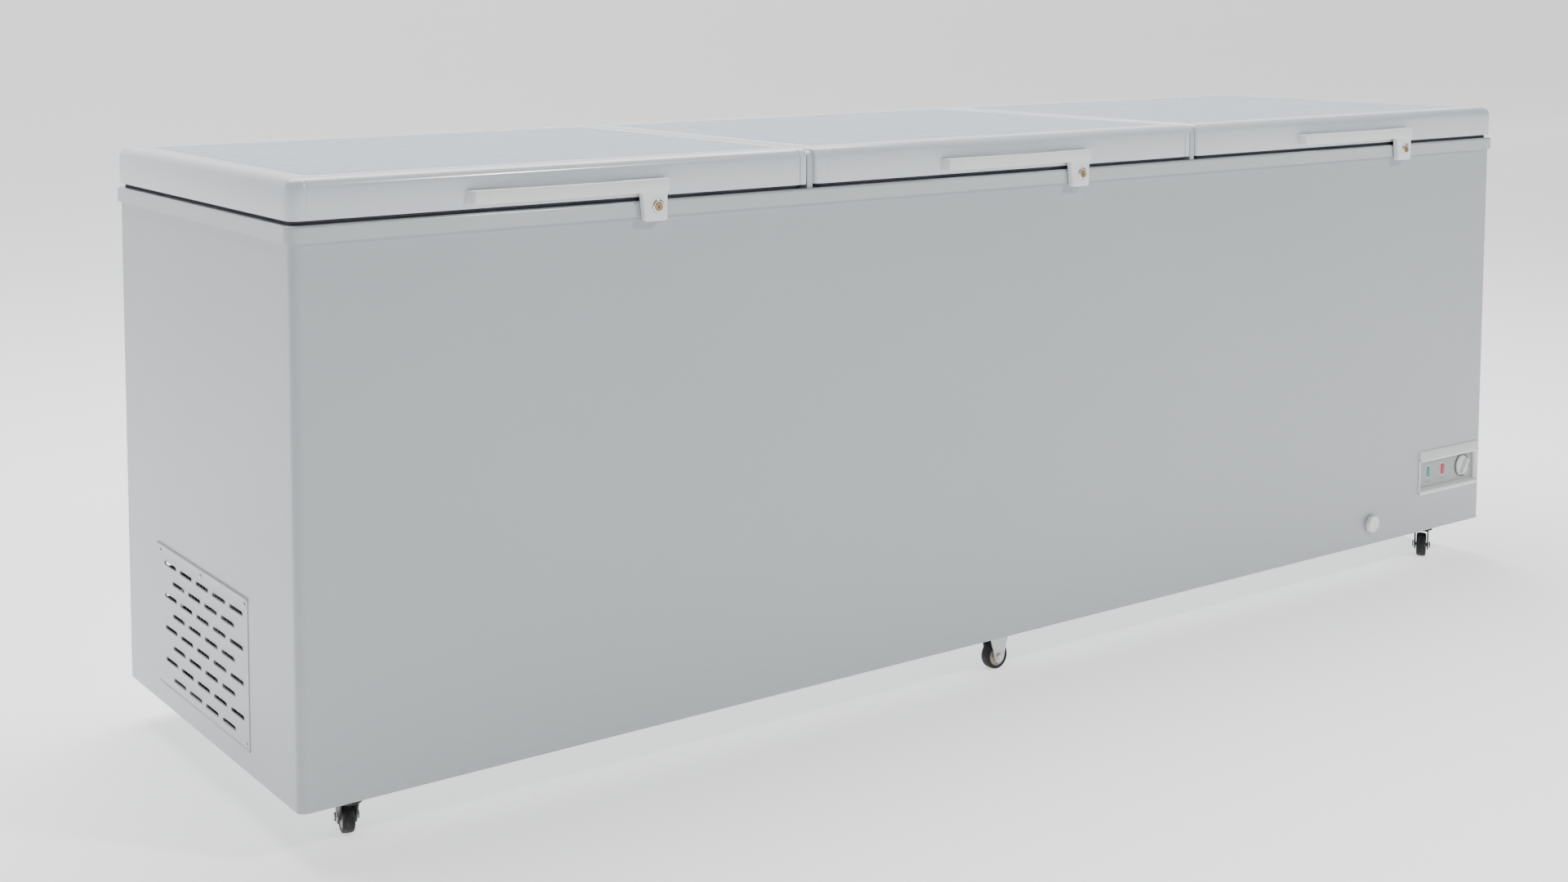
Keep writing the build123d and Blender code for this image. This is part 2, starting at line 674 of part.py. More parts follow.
dial_centre = (bezel_left + dial_x, bezel_z + dial_z)
with BuildPart() as thermostat_knob:
    with BuildSketch(front_plane(*dial_centre, -bezel_recess + 0.5)):
        Circle(knob_radius)
    extrude(amount=knob_base)
    fillet(thermostat_knob.faces().sort_by(Axis.Y)[0].edges(), 1.5)
    grip_base = -bezel_recess + 0.5 + knob_base
    with BuildSketch(front_plane(*dial_centre, grip_base)):
        SlotOverall(2 * knob_radius - 5, knob_grip_width, rotation=knob_rest_deg)
    extrude(amount=knob_grip_height - knob_base)
    fillet(thermostat_knob.faces().sort_by(Axis.Y)[0].edges(), 1.2)
    with BuildSketch(front_plane(*dial_centre, -bezel_recess + 0.5)):
        Circle(shaft_radius)
    extrude(amount=-(0.5 + bezel_face + thermostat_bore - 1))
keep(thermostat_knob, "thermostat_knob")

# ---------------------------------------------------------------- drain
with BuildPart() as drain_tube:
    with BuildSketch(front_plane(drain_x, drain_z, drain_nose + drain_collar)):
        Circle(drain_tube_radius)
    extrude(amount=-(drain_nose + drain_collar + drain_reach + drain_tube_radius))
    with BuildSketch(front_plane(drain_x, drain_z)):
        Circle(drain_collar_radius)
    extrude(amount=drain_collar)
    with BuildSketch(Plane((drain_x, upright_y, drain_z))):
        Circle(drain_tube_radius)
    extrude(amount=tub_floor_z - drain_z)
    with BuildSketch(front_plane(drain_x, drain_z, drain_nose + drain_collar)):
        Circle(drain_bore)
    extrude(amount=-(drain_nose + drain_collar + drain_reach), mode=Mode.SUBTRACT)
    with BuildSketch(Plane((drain_x, upright_y, drain_z))):
        Circle(drain_bore)
    extrude(amount=tub_floor_z - drain_z, mode=Mode.SUBTRACT)
keep(drain_tube, "drain_tube")

cap_back = drain_collar + 0.2
with BuildPart() as drain_cap:
    with BuildSketch(front_plane(drain_x, drain_z, cap_back)):
        Circle(drain_cap_radius)
    extrude(amount=drain_cap_depth)
    fillet(drain_cap.faces().sort_by(Axis.Y)[0].edges(), 2.5)
    with BuildSketch(front_plane(drain_x, drain_z, cap_back)):
        Circle(drain_tube_radius + touch_gap)
    extrude(amount=drain_nose + touch_gap, mode=Mode.SUBTRACT)
    with BuildSketch(front_plane(drain_x, drain_z, cap_back + drain_cap_depth - 1.2)):
        Circle(drain_cap_radius - 5)
    extrude(amount=2, mode=Mode.SUBTRACT)
keep(drain_cap, "drain_cap")

with BuildPart() as drain_plug:
    with BuildSketch(Plane((drain_x, upright_y, drain_plug_seat_z))):
        Circle(drain_plug_radius)
    extrude(amount=4)
    chamfer(drain_plug.faces().sort_by(Axis.Z)[-1].edges(), 1)
    with BuildSketch(Plane((drain_x, upright_y, drain_plug_seat_z))):
        Circle(drain_bore - touch_gap)
    extrude(amount=-drain_plug_stem)
    with BuildSketch(Plane((drain_x, upright_y, drain_plug_seat_z + 4))):
        Rectangle(18, 3)
    extrude(amount=9)
keep(drain_plug, "drain_plug")

# ---------------------------------------------------------------- machine bay
bay_left_x = left_x + sheet
condenser_x = bay_left_x + 25.0
condenser_thickness = 56.0
condenser_width = 300.0
condenser_height = 200.0
condenser_z = floor_top_z + rail_height + 12.0
fin_pitch = 12.0
fin_groove = 4.0
shroud_sheet = 2.0
fan_opening_radius = 92.0
fan_radius = 84.0
fan_hub_radius = 22.0
fan_hub_length = 24.0
fan_blade_sheet = 2.5
motor_radius = 30.0
motor_length = 44.0
motor_shaft_radius = 4.0
fan_y = grille_y
fan_z = condenser_z + condenser_height / 2
fan_plane_x = condenser_x + condenser_thickness + 8.0
hub_x = fan_plane_x + shroud_sheet + 6.0
motor_x = hub_x + fan_hub_length + 6.0


def bay_plane(x):
    """Upright plane across the machine bay through the fan's centre, extruding to +X."""
    return Plane((x, fan_y, fan_z), x_dir=(0, 1, 0), z_dir=(1, 0, 0))


grooves = int(condenser_width / fin_pitch) - 1
with BuildPart() as condenser:
    with BuildSketch(bay_plane(condenser_x)):
        Rectangle(condenser_width, condenser_height)
    extrude(amount=condenser_thickness)
    for face_x in (condenser_x, condenser_x + condenser_thickness - fin_groove):
        with BuildSketch(bay_plane(face_x)):
            with GridLocations(fin_pitch, 1, grooves, 1):
                Rectangle(fin_pitch - 3, condenser_height - 16)
        extrude(amount=fin_groove, mode=Mode.SUBTRACT)
    with BuildSketch(bay_plane(condenser_x + 6)):
        with Locations((0, -condenser_height / 2 - 6)):
            Rectangle(condenser_width, 12)
    extrude(amount=condenser_thickness - 12)
keep(condenser, "condenser")

arm_length = motor_x + 10 - fan_plane_x - shroud_sheet
with BuildPart() as fan_frame:
    with BuildSketch(bay_plane(fan_plane_x)):
        Rectangle(condenser_width, condenser_height)
        Circle(fan_opening_radius, mode=Mode.SUBTRACT)
    extrude(amount=shroud_sheet)
    for side in (-1, 1):
        with BuildSketch(bay_plane(fan_plane_x + shroud_sheet)):
            with Locations((side * (fan_opening_radius + 12), 0)):
                Rectangle(8, 24)
        extrude(amount=arm_length)
    with BuildSketch(bay_plane(motor_x + 6)):
        Rectangle(2 * (fan_opening_radius + 16), 24)
    extrude(amount=4)
    with BuildSketch(bay_plane(motor_x)):
        Circle(motor_radius)
    extrude(amount=motor_length)
    with BuildSketch(bay_plane(motor_x)):
        Circle(motor_shaft_radius)
    extrude(amount=-(fan_hub_length + 6 - 2))
    with BuildSketch(bay_plane(condenser_x + condenser_thickness)):
        with GridLocations(condenser_width - 16, condenser_height - 16, 2, 2):
            Circle(5)
    extrude(amount=fan_plane_x - condenser_x - condenser_thickness)
keep(fan_frame, "fan_frame")

with BuildPart() as fan_blades:
    with BuildSketch(bay_plane(hub_x)):
        Circle(fan_hub_radius)
    extrude(amount=fan_hub_length)
    for turn in range(4):
        blade_dir = (0, cos(radians(turn * 90)), sin(radians(turn * 90)))
        start = (hub_x + fan_hub_length / 2, fan_y, fan_z)
        pitched = (cos(radians(60)), -sin(radians(turn * 90)) * sin(radians(60)),
                   cos(radians(turn * 90)) * sin(radians(60)))
        with BuildSketch(Plane(start, x_dir=pitched, z_dir=blade_dir)):
            Rectangle(fan_hub_length * 1.3, fan_blade_sheet)
        extrude(amount=fan_radius)
    with BuildSketch(bay_plane(hub_x)):
        Circle(motor_shaft_radius + running_fit)
    extrude(amount=fan_hub_length, mode=Mode.SUBTRACT)
keep(fan_blades, "fan_blades")

compressor_x = bay_right_x - 120.0
compressor_y = cabinet_y + body_depth * 0.2
compressor_feet_z = floor_top_z + 12.0
shell_z = compressor_feet_z + 3.0
shell_height = 165.0
with BuildPart() as compressor:
    with BuildSketch(Plane((compressor_x, compressor_y, shell_z))):
        Ellipse(92, 74)
    extrude(amount=shell_height)
    fillet(compressor.faces().sort_by(Axis.Z)[-1].edges(), 34)
    with BuildSketch(Plane((compressor_x, compressor_y, shell_z + shell_height * 0.55))):
        Ellipse(96, 78)
    extrude(amount=5)
    with BuildSketch(Plane((compressor_x, compressor_y, compressor_feet_z))):
        RectangleRounded(190, 130, 12)
    extrude(amount=3)
    with BuildSketch(Plane((compressor_x, compressor_y, floor_top_z))):
        with GridLocations(160, 100, 2, 2):
            Circle(12)
    extrude(amount=12)
    with BuildSketch(Plane((compressor_x, compressor_y - 82, shell_z + 30))):
        Rectangle(64, 36)
    extrude(amount=56)
keep(compressor, "compressor")


def pipe(points, radius, bend):
    """Round tube along straight runs joined by arcs."""
    with BuildPart() as tube:
        with BuildLine() as route:
            FilletPolyline(*points, radius=bend)
        start = route.wires()[0]
        with BuildSketch(Plane(origin=start @ 0, z_dir=start % 0)):
            Circle(radius)
        sweep(path=start)
    return tube.part


pipe_radius = 3.2
shell_top_z = shell_z + shell_height
condenser_top_z = condenser_z + condenser_height
suction_y = header_ys[1]
liquid_y = header_ys[0]
suction_z = header_bottom_z - 25
discharge_z = condenser_top_z + 32
liquid_z = condenser_top_z + 14
condenser_mid_x = condenser_x + condenser_thickness / 2
suction = pipe(
    [
        (header_x, suction_y, header_bottom_z),
        (header_x, suction_y, suction_z),
        (compressor_x - 20, suction_y, suction_z),
        (compressor_x - 20, suction_y, shell_top_z),
    ],
    pipe_radius,
    10.0,
)
discharge = pipe(
    [
        (compressor_x + 20, compressor_y, shell_top_z),
        (compressor_x + 20, compressor_y, discharge_z),
        (compressor_x + 20, fan_y - 100, discharge_z),
        (condenser_mid_x, fan_y - 100, discharge_z),
        (condenser_mid_x, fan_y - 100, condenser_top_z),
    ],
    pipe_radius,
    8.0,
)
liquid = pipe(
    [
        (condenser_mid_x, fan_y - 60, condenser_top_z),
        (condenser_mid_x, fan_y - 60, liquid_z),
        (header_x, liquid_y, liquid_z),
        (header_x, liquid_y, header_bottom_z),
    ],
    pipe_radius,
    6.0,
)
with BuildPart() as refrigerant_lines:
    add(suction)
    add(discharge)
    add(liquid)
keep(refrigerant_lines, "refrigerant_lines")

with BuildPart() as cord_gland:
    with BuildSketch(Plane((gland_x, back_y, gland_z), x_dir=(1, 0, 0), z_dir=(0, 1, 0))):
        Circle(gland_radius + 4)
    extrude(amount=6)
    fillet(cord_gland.faces().sort_by(Axis.Y)[-1].edges(), 2)
    with BuildSketch(Plane((gland_x, back_y, gland_z), x_dir=(1, 0, 0), z_dir=(0, 1, 0))):
        Circle(gland_radius)
    extrude(amount=-14)
    with BuildSketch(Plane((gland_x, back_y - 14, gland_z), x_dir=(1, 0, 0), z_dir=(0, 1, 0))):
        Circle(4.2)
    extrude(amount=20, mode=Mode.SUBTRACT)
keep(cord_gland, "cord_gland")

# ---------------------------------------------------------------- hinges on the cabinet
hinge_xs = []
for x0, x1 in lids:
    hinge_xs.append((x0 + hinge_inset, x1 - hinge_inset))
all_hinge_xs = [x for pair in hinge_xs for x in pair]
ear_offset = hinge_width / 2 - hinge_ear / 2
hinge_base_z = top_z - hinge_base_height
ear_front_y = back_y + rim_overhang + 1.5

with BuildPart() as hinge_bases:
    for hinge_x in all_hinge_xs:
        for side in (-1, 1):
            with BuildSketch(side_plane(hinge_x + side * ear_offset - hinge_ear / 2)):
                with BuildLine():
                    Polyline(
                        (back_y, hinge_base_z),
                        (hinge_axis_y + hinge_ear_radius, hinge_base_z + hinge_axis_back),
                        (hinge_axis_y + hinge_ear_radius, hinge_axis_z),
                        (ear_front_y, hinge_axis_z),
                        (ear_front_y, top_z - 2),
                        (back_y, top_z - 2),
                        close=True,
                    )
                make_face()
                with Locations((hinge_axis_y, hinge_axis_z)):
                    Circle(hinge_ear_radius)
                    Circle(pin_radius, mode=Mode.SUBTRACT)
            extrude(amount=hinge_ear)
        with BuildSketch(side_plane(hinge_x - hinge_width / 2 + hinge_ear)):
            with Locations((back_y + hinge_plate / 2, top_z - 2 - (hinge_base_height - 2) / 2)):
                Rectangle(hinge_plate, hinge_base_height - 2)
        extrude(amount=hinge_width - 2 * hinge_ear)
        cover_y = back_y + hinge_axis_back + hinge_ear_radius - hinge_plate / 2
        cover_height = 60.0
        with BuildSketch(side_plane(hinge_x - hinge_width / 2 + hinge_ear)):
            with Locations((cover_y, hinge_base_z + hinge_axis_back + cover_height / 2)):
                Rectangle(hinge_plate, cover_height)
        extrude(amount=hinge_width - 2 * hinge_ear)
keep(hinge_bases, "hinge_bases")

with BuildPart() as hinge_pins:
    for hinge_x in all_hinge_xs:
        with BuildSketch(side_plane(hinge_x - hinge_width / 2 - 2)):
            with Locations((hinge_axis_y, hinge_axis_z)):
                Circle(pin_radius)
        extrude(amount=hinge_width + 4)
        with BuildSketch(side_plane(hinge_x + hinge_width / 2)):
            with Locations((hinge_axis_y, hinge_axis_z)):
                Circle(pin_head_radius)
        extrude(amount=pin_head)
keep(hinge_pins, "hinge_pins")


# ---------------------------------------------------------------- lids
def lid_box(inset, low, high, x0, x1, rounding):
    """Lid-shaped block between two heights, inset from the lid's edge, rounded on top."""
    width = x1 - x0 - 2 * inset
    depth = lid_depth - 2 * inset
    with BuildPart() as block:
        with BuildSketch(Plane(((x0 + x1) / 2, cabinet_y, low))):
            RectangleRounded(width, depth, lid_corner - inset)
        extrude(amount=high - low)
        fillet(block.faces().sort_by(Axis.Z)[-1].edges(), rounding)
    return block.part


def make_lid(number, x0, x1, plug_x0, plug_x1, arm_xs):
    """One lid: skin, foam, inner tray, seal, handle, lock barrel and hinge arms."""
    prefix = f"lid_{number}_"
    centre_x = (x0 + x1) / 2
    plan = Plane((centre_x, cabinet_y, lid_z))
    hollow = lid_box(lid_sheet, lid_z, lid_top_z - lid_sheet, x0, x1, lid_round - lid_sheet)
    with BuildPart() as lid_cover:
        with BuildSketch(plan):
            RectangleRounded(x1 - x0, lid_depth, lid_corner)
        extrude(amount=lid_thickness)
        fillet(lid_cover.faces().sort_by(Axis.Z)[-1].edges(), lid_round)
        add(hollow, mode=Mode.SUBTRACT)
    keep(lid_cover, prefix + "cover")

    plug_x = (plug_x0 + plug_x1) / 2
    plug_size = (plug_x1 - plug_x0, opening_depth - 2 * plug_gap)
    plug_z = rim_top_z - plug_depth
    tray_plan = (x1 - x0 - 2 * lid_sheet, lid_depth - 2 * lid_sheet)
    tray_hollow = [size - 2 * lid_liner_sheet for size in plug_size]
    with BuildPart() as lid_liner:
        with BuildSketch(plan):
            RectangleRounded(*tray_plan, lid_corner - lid_sheet)
        extrude(amount=lid_liner_sheet)
        with BuildSketch(Plane((plug_x, cabinet_y, plug_z))):
            RectangleRounded(*plug_size, liner_radius)
        extrude(amount=lid_z - plug_z)
        fillet(lid_liner.faces().sort_by(Axis.Z)[0].edges(), 4)
        with BuildSketch(Plane((plug_x, cabinet_y, plug_z + lid_liner_sheet))):
            RectangleRounded(*tray_hollow, liner_radius - lid_liner_sheet)
        extrude(amount=lid_z - plug_z, mode=Mode.SUBTRACT)
    keep(lid_liner, prefix + "liner")

    foam_low = lid_z + lid_liner_sheet
    foam_high = lid_top_z - lid_sheet
    upper_foam = lid_box(lid_sheet + touch_gap, foam_low, foam_high, x0, x1, lid_round)
    with BuildPart() as lid_foam:
        add(upper_foam)
        with BuildSketch(Plane((plug_x, cabinet_y, plug_z + lid_liner_sheet))):
            RectangleRounded(*[size - 1 for size in tray_hollow], liner_radius - lid_liner_sheet)
        extrude(amount=foam_low - plug_z - lid_liner_sheet)
    keep(lid_foam, prefix + "foam")

    seal_outer = (x1 - x0 - 2 * gasket_inset, lid_depth - 2 * gasket_inset)
    seal_inner = [size - 2 * gasket_width for size in seal_outer]
    with BuildPart() as lid_gasket:
        with BuildSketch(Plane((centre_x, cabinet_y, rim_top_z))):
            RectangleRounded(*seal_outer, lid_corner - gasket_inset)
            Rectangle(*seal_inner, mode=Mode.SUBTRACT)
        extrude(amount=gasket_height)
    keep(lid_gasket, prefix + "gasket")

    lid_front_y = front_y - lid_overhang
    foot_y = lid_front_y - handle_foot_depth
    bow_y = foot_y - handle_bow
    half = handle_length / 2
    grip_x0 = centre_x - half + handle_left_foot
    grip_x1 = centre_x + half - handle_right_foot
    grip_mid = (grip_x0 + grip_x1) / 2
    lock_x = centre_x + half - lock_inset - lock_width / 2
    lock_back_y = front_y - rim_overhang - lock_rim_gap
    with BuildPart() as lid_handle:
        with BuildSketch(Plane((0, 0, handle_z))):
            with BuildLine():
                Polyline(
                    (centre_x - half, foot_y),
                    (centre_x - half - 7, lid_front_y),
                    (centre_x + half, lid_front_y),
                    (centre_x + half, foot_y),
                )
                ThreePointArc(
                    (centre_x + half, foot_y), (centre_x, bow_y), (centre_x - half, foot_y)
                )
            make_face()
            with BuildLine():
                Polyline(
                    (grip_x0, foot_y + handle_bar),
                    (grip_x0 - 4, lid_front_y),
                    (grip_x1 + 4, lid_front_y),
                    (grip_x1, foot_y + handle_bar),
                )
                ThreePointArc(
                    (grip_x1, foot_y + handle_bar),
                    (grip_mid, bow_y + handle_bar),
                    (grip_x0, foot_y + handle_bar),
                )
            make_face(mode=Mode.SUBTRACT)
        extrude(amount=handle_height)
        with BuildSketch(front_plane(lock_x, handle_z - lock_drop / 2, front_y - lock_back_y)) as shape:
            with Locations((0, 1)):
                Rectangle(lock_width, lock_drop + 2)
            fillet(shape.vertices().group_by(Axis.Z)[0], lock_radius)
        extrude(amount=lock_thickness)
        with BuildSketch(front_plane(key_xs[number - 1], key_z, front_y - lock_back_y)):
            Circle(barrel_radius + running_fit)
        extrude(amount=lock_thickness, mode=Mode.SUBTRACT)
    keep(lid_handle, prefix + "handle")

    lock_front = front_y - lock_back_y + lock_thickness
    with BuildPart() as lock_barrel:
        with BuildSketch(front_plane(key_xs[number - 1], key_z, lock_front + 0.2)):
            Circle(barrel_flange_radius)
        extrude(amount=barrel_proud)
        fillet(lock_barrel.faces().sort_by(Axis.Y)[0].edges(), 0.8)
        with BuildSketch(front_plane(key_xs[number - 1], key_z, lock_front + 0.2 + barrel_proud)):
            Rectangle(1.6, 7)
            Circle(2)
        extrude(amount=-4, mode=Mode.SUBTRACT)
        with BuildSketch(front_plane(key_xs[number - 1], key_z, lock_front + 0.2)):
            Circle(barrel_radius)
        extrude(amount=-lock_thickness)
        with BuildSketch(front_plane(key_xs[number - 1], key_z, lock_front + 0.2 - lock_thickness)):
            Circle(tongue_shaft)
        extrude(amount=-(tongue_back_y - lock_back_y + 0.2))
        with BuildSketch(Plane((key_xs[number - 1], tongue_back_y, key_z), x_dir=(1, 0, 0),
                               z_dir=(0, -1, 0))):
            Rectangle(tongue_height, tongue_length)
        extrude(amount=tongue_thickness)
    keep(lock_barrel, prefix + "lock")

    arm_y = back_y + lid_overhang
    arm_inside = hinge_width - 2 * hinge_ear - 2
    with BuildPart() as hinge_arms:
        for arm_x in arm_xs:
            with BuildSketch(side_plane(arm_x - arm_inside / 2)):
                with Locations((arm_y + hinge_plate / 2, lid_z + 2 + hinge_arm_height / 2)):
                    Rectangle(hinge_plate, hinge_arm_height)
                with Locations(((arm_y + hinge_axis_y) / 2, hinge_axis_z)):
                    Rectangle(hinge_axis_y - arm_y, knuckle_radius)
                with Locations((hinge_axis_y, hinge_axis_z)):
                    Circle(knuckle_radius)
                    Circle(pin_radius + running_fit, mode=Mode.SUBTRACT)
            extrude(amount=arm_inside)
    keep(hinge_arms, prefix + "hinge_arms")


plug_edges = [-opening_length / 2 + plug_gap]
for slit_x in slit_centres:
    plug_edges.append(slit_x - mullion_width / 2 - plug_gap)
    plug_edges.append(slit_x + mullion_width / 2 + plug_gap)
plug_edges.append(opening_length / 2 - plug_gap)

for index, (x0, x1) in enumerate(lids):
    plug_pair = plug_edges[2 * index:2 * index + 2]
    make_lid(index + 1, x0, x1, *plug_pair, hinge_xs[index])


# ---------------------------------------------------------------- castors
def castor_plane(x, y, angle, z=0.0):
    """Horizontal plane at a castor, local x along its rolling direction."""
    return Plane((x, y, z), x_dir=(cos(radians(angle)), sin(radians(angle)), 0))


def cheek_plane(x, y, angle, across):
    """Upright plane beside a wheel: local x along the rolling direction, local y up."""
    along = (cos(radians(angle)), sin(radians(angle)), 0)
    sideways = (sin(radians(angle)), -cos(radians(angle)), 0)
    origin = (x + sideways[0] * across, y + sideways[1] * across, 0)
    return Plane(origin, x_dir=along, z_dir=sideways)


def make_wheel(name, x, y, angle):
    """Wheel with a grooved tyre face, turning on its axle."""
    with BuildPart() as wheel:
        with BuildSketch(cheek_plane(x, y, angle, -wheel_width / 2)):
            with Locations((0, wheel_radius)):
                Circle(wheel_radius)
        extrude(amount=wheel_width)
        fillet(wheel.edges().filter_by(GeomType.CIRCLE), 3)
        for across in (-wheel_width / 2, wheel_width / 2 - 1.5):
            with BuildSketch(cheek_plane(x, y, angle, across)):
                with Locations((0, wheel_radius)):
                    Circle(hub_radius + 4)
                    Circle(hub_radius - 4, mode=Mode.SUBTRACT)
            extrude(amount=1.5, mode=Mode.SUBTRACT)
        with BuildSketch(cheek_plane(x, y, angle, -wheel_width / 2)):
            with Locations((0, wheel_radius)):
                Circle(axle_radius + running_fit)
        extrude(amount=wheel_width, mode=Mode.SUBTRACT)
    keep(wheel, name)


def riveted_axle(x, y, angle):
    """Axle through both cheeks, with a button head at each end."""
    reach = fork_gap / 2 + fork_sheet
    with BuildPart() as axle:
        with BuildSketch(cheek_plane(x, y, angle, -reach)):
            with Locations((0, wheel_radius)):
                Circle(axle_radius)
        extrude(amount=2 * reach)
        for across in (-reach - axle_head, reach):
            with BuildSketch(cheek_plane(x, y, angle, across)):
                with Locations((0, wheel_radius)):
                    Circle(axle_head_radius)
            extrude(amount=axle_head)
    return axle.part


def fork_cheeks(x, y, angle, high_z, top_from, top_to):
    """Two flat cheeks that narrow from the top plate to a round nose at the axle."""
    nose = wheel_radius * 0.44
    with BuildPart() as cheeks:
        for across in (-fork_gap / 2 - fork_sheet, fork_gap / 2):
            with BuildSketch(cheek_plane(x, y, angle, across)):
                with BuildLine():
                    Polyline(
                        (top_from, high_z),
                        (top_to, high_z),
                        (nose * 0.96, wheel_radius - nose * 0.28),
                        (-nose * 0.96, wheel_radius - nose * 0.28),
                        close=True,
                    )
                make_face()
                with Locations((0, wheel_radius)):
                    Circle(nose)
            extrude(amount=fork_sheet)
    return cheeks.part


with BuildPart() as caster_plates:
    for _, x, y, _ in swivel_castors:
        with BuildSketch(Plane((x, y, castor_plate_z))):
            RectangleRounded(castor_plate, castor_plate, 5)
            with GridLocations(castor_bolt_spacing, castor_bolt_spacing, 2, 2):
                Circle(castor_bolt_radius, mode=Mode.SUBTRACT)
        extrude(amount=castor_plate_sheet)
        with BuildSketch(Plane((x, y, raceway_z))):
            Circle(fork_top_radius - 2)
        extrude(amount=castor_plate_z - raceway_z)
        with BuildSketch(Plane((x, y, raceway_z))):
            Circle(kingpin_radius)
        extrude(amount=-(fork_sheet + 2 * swivel_gap + kingpin_head))
        with BuildSketch(Plane((x, y, raceway_z - fork_sheet - 2 * swivel_gap))):
            Circle(kingpin_head_radius)
        extrude(amount=-kingpin_head)
keep(caster_plates, "caster_plates")

bolt_head = 4.0
bolt_nut = 5.0
bolt_across = 10.0
bolt_hex = bolt_across / sqrt(3)
with BuildPart() as caster_bolts:
    with BuildSketch(Plane.XY.offset(castor_plate_z - bolt_head)):
        with Locations(*bolt_spots):
            RegularPolygon(bolt_hex, 6)
    extrude(amount=bolt_head)
    with BuildSketch(Plane.XY.offset(castor_plate_z)):
        with Locations(*bolt_spots):
            Circle(castor_bolt_radius)
    extrude(amount=floor_top_z + rail_sheet + bolt_nut + 2 - castor_plate_z)
    with BuildSketch(Plane.XY.offset(floor_top_z + rail_sheet)):
        with Locations(*bolt_spots):
            RegularPolygon(bolt_hex, 6)
    extrude(amount=bolt_nut)
keep(caster_bolts, "caster_bolts")

for name, x, y, angle in swivel_castors:
    wheel_x = x + trail * cos(radians(angle))
    wheel_y = y + trail * sin(radians(angle))
    cheek_pair = fork_cheeks(wheel_x, wheel_y, angle, fork_top_z, -trail - 12, 14)
    axle = riveted_axle(wheel_x, wheel_y, angle)
    with BuildPart() as fork:
        with BuildSketch(castor_plane(x, y, angle, fork_top_z - fork_sheet)):
            Circle(fork_top_radius)
            with Locations((trail / 2, 0)):
                Rectangle(trail + 14, fork_gap + 2 * fork_sheet)
            Circle(kingpin_radius + running_fit, mode=Mode.SUBTRACT)
        extrude(amount=fork_sheet)
        add(cheek_pair)
        add(axle)
    keep(fork, f"caster_{name}_fork")
    make_wheel(f"caster_{name}_wheel", wheel_x, wheel_y, angle)

half_plate = castor_plate / 2 - 4
fixed_pieces = []
for _, x, y in fixed_castors:
    fixed_pieces.append(fork_cheeks(x, y, 0, castor_plate_z, -half_plate, half_plate))
    fixed_pieces.append(riveted_axle(x, y, 0))
with BuildPart() as fixed_caster_forks:
    for _, x, y in fixed_castors:
        with BuildSketch(Plane((x, y, castor_plate_z))):
            RectangleRounded(castor_plate, castor_plate, 5)
            with GridLocations(castor_bolt_spacing, castor_bolt_spacing, 2, 2):
                Circle(castor_bolt_radius, mode=Mode.SUBTRACT)
        extrude(amount=castor_plate_sheet)
    add(fixed_pieces)
keep(fixed_caster_forks, "fixed_caster_forks")
for name, x, y in fixed_castors:
    make_wheel(f"caster_{name}_wheel", x, y, 0)
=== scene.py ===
import json
import math

import bmesh
import bpy
import numpy as np
from mathutils import Matrix, Vector
from bpy.props import FloatProperty, FloatVectorProperty, PointerProperty


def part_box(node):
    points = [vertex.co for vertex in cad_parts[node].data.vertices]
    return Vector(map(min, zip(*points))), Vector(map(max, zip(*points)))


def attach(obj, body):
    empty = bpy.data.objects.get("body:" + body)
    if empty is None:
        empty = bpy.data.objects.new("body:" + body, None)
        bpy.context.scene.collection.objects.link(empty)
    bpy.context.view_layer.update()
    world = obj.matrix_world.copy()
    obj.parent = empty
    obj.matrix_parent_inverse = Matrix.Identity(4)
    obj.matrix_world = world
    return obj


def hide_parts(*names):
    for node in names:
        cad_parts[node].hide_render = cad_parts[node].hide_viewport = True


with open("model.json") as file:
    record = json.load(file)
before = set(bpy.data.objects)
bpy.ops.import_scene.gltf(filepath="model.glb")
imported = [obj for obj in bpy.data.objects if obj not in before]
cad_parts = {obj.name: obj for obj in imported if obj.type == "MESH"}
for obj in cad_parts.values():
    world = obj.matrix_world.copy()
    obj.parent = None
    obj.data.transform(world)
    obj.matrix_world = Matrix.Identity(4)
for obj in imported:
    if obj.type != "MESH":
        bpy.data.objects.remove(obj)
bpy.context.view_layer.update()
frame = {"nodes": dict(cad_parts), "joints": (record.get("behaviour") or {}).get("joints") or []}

bl_info = {
    "name": "Ice cream dipping cabinet",
    "version": (1, 0, 0),
    "blender": (4, 5, 0),
    "location": "View3D > Sidebar > Cabinet",
    "description": "Finished surfaces for a long chest freezer with three lids",
    "category": "Object",
}

MM = 0.001
LIDS = (1, 2, 3)
SWIVEL_CASTERS = ("front_left", "front_right", "rear_left", "rear_right")
FIXED_CASTERS = ("front_middle", "rear_middle")
JOINTS = {joint["name"]: joint for joint in frame["joints"]}


# ---------------------------------------------------------------- settings
class CabinetSizes(bpy.types.PropertyGroup):
    """Sizes of the finished surfaces that the frame leaves open."""

    lid_border: FloatProperty(
        name="Lid border", description="Moulded border round the top sheet of a lid",
        default=0.046, min=0.03, max=0.09, unit="LENGTH")
    joint_border: FloatProperty(
        name="Border at a joint", description="The same border beside a neighbouring lid",
        default=0.030, min=0.02, max=0.06, unit="LENGTH")
    lid_round: FloatProperty(
        name="Lid edge", description="Radius of the upper edge of a lid",
        default=0.0165, min=0.015, max=0.03, unit="LENGTH")
    sheet_drop: FloatProperty(
        name="Sheet drop", description="How far the top sheet lies below its border",
        default=0.0005, min=0.0003, max=0.0009, unit="LENGTH")
    seam_inset: FloatProperty(
        name="Seam inset", description="Moulding seam from the right end of a lid",
        default=0.016, min=0.01, max=0.03, unit="LENGTH")
    slot_lip: FloatProperty(
        name="Slot lip", description="How far the pressed lip of a grille slot turns inwards",
        default=0.0026, min=0.001, max=0.004, unit="LENGTH")


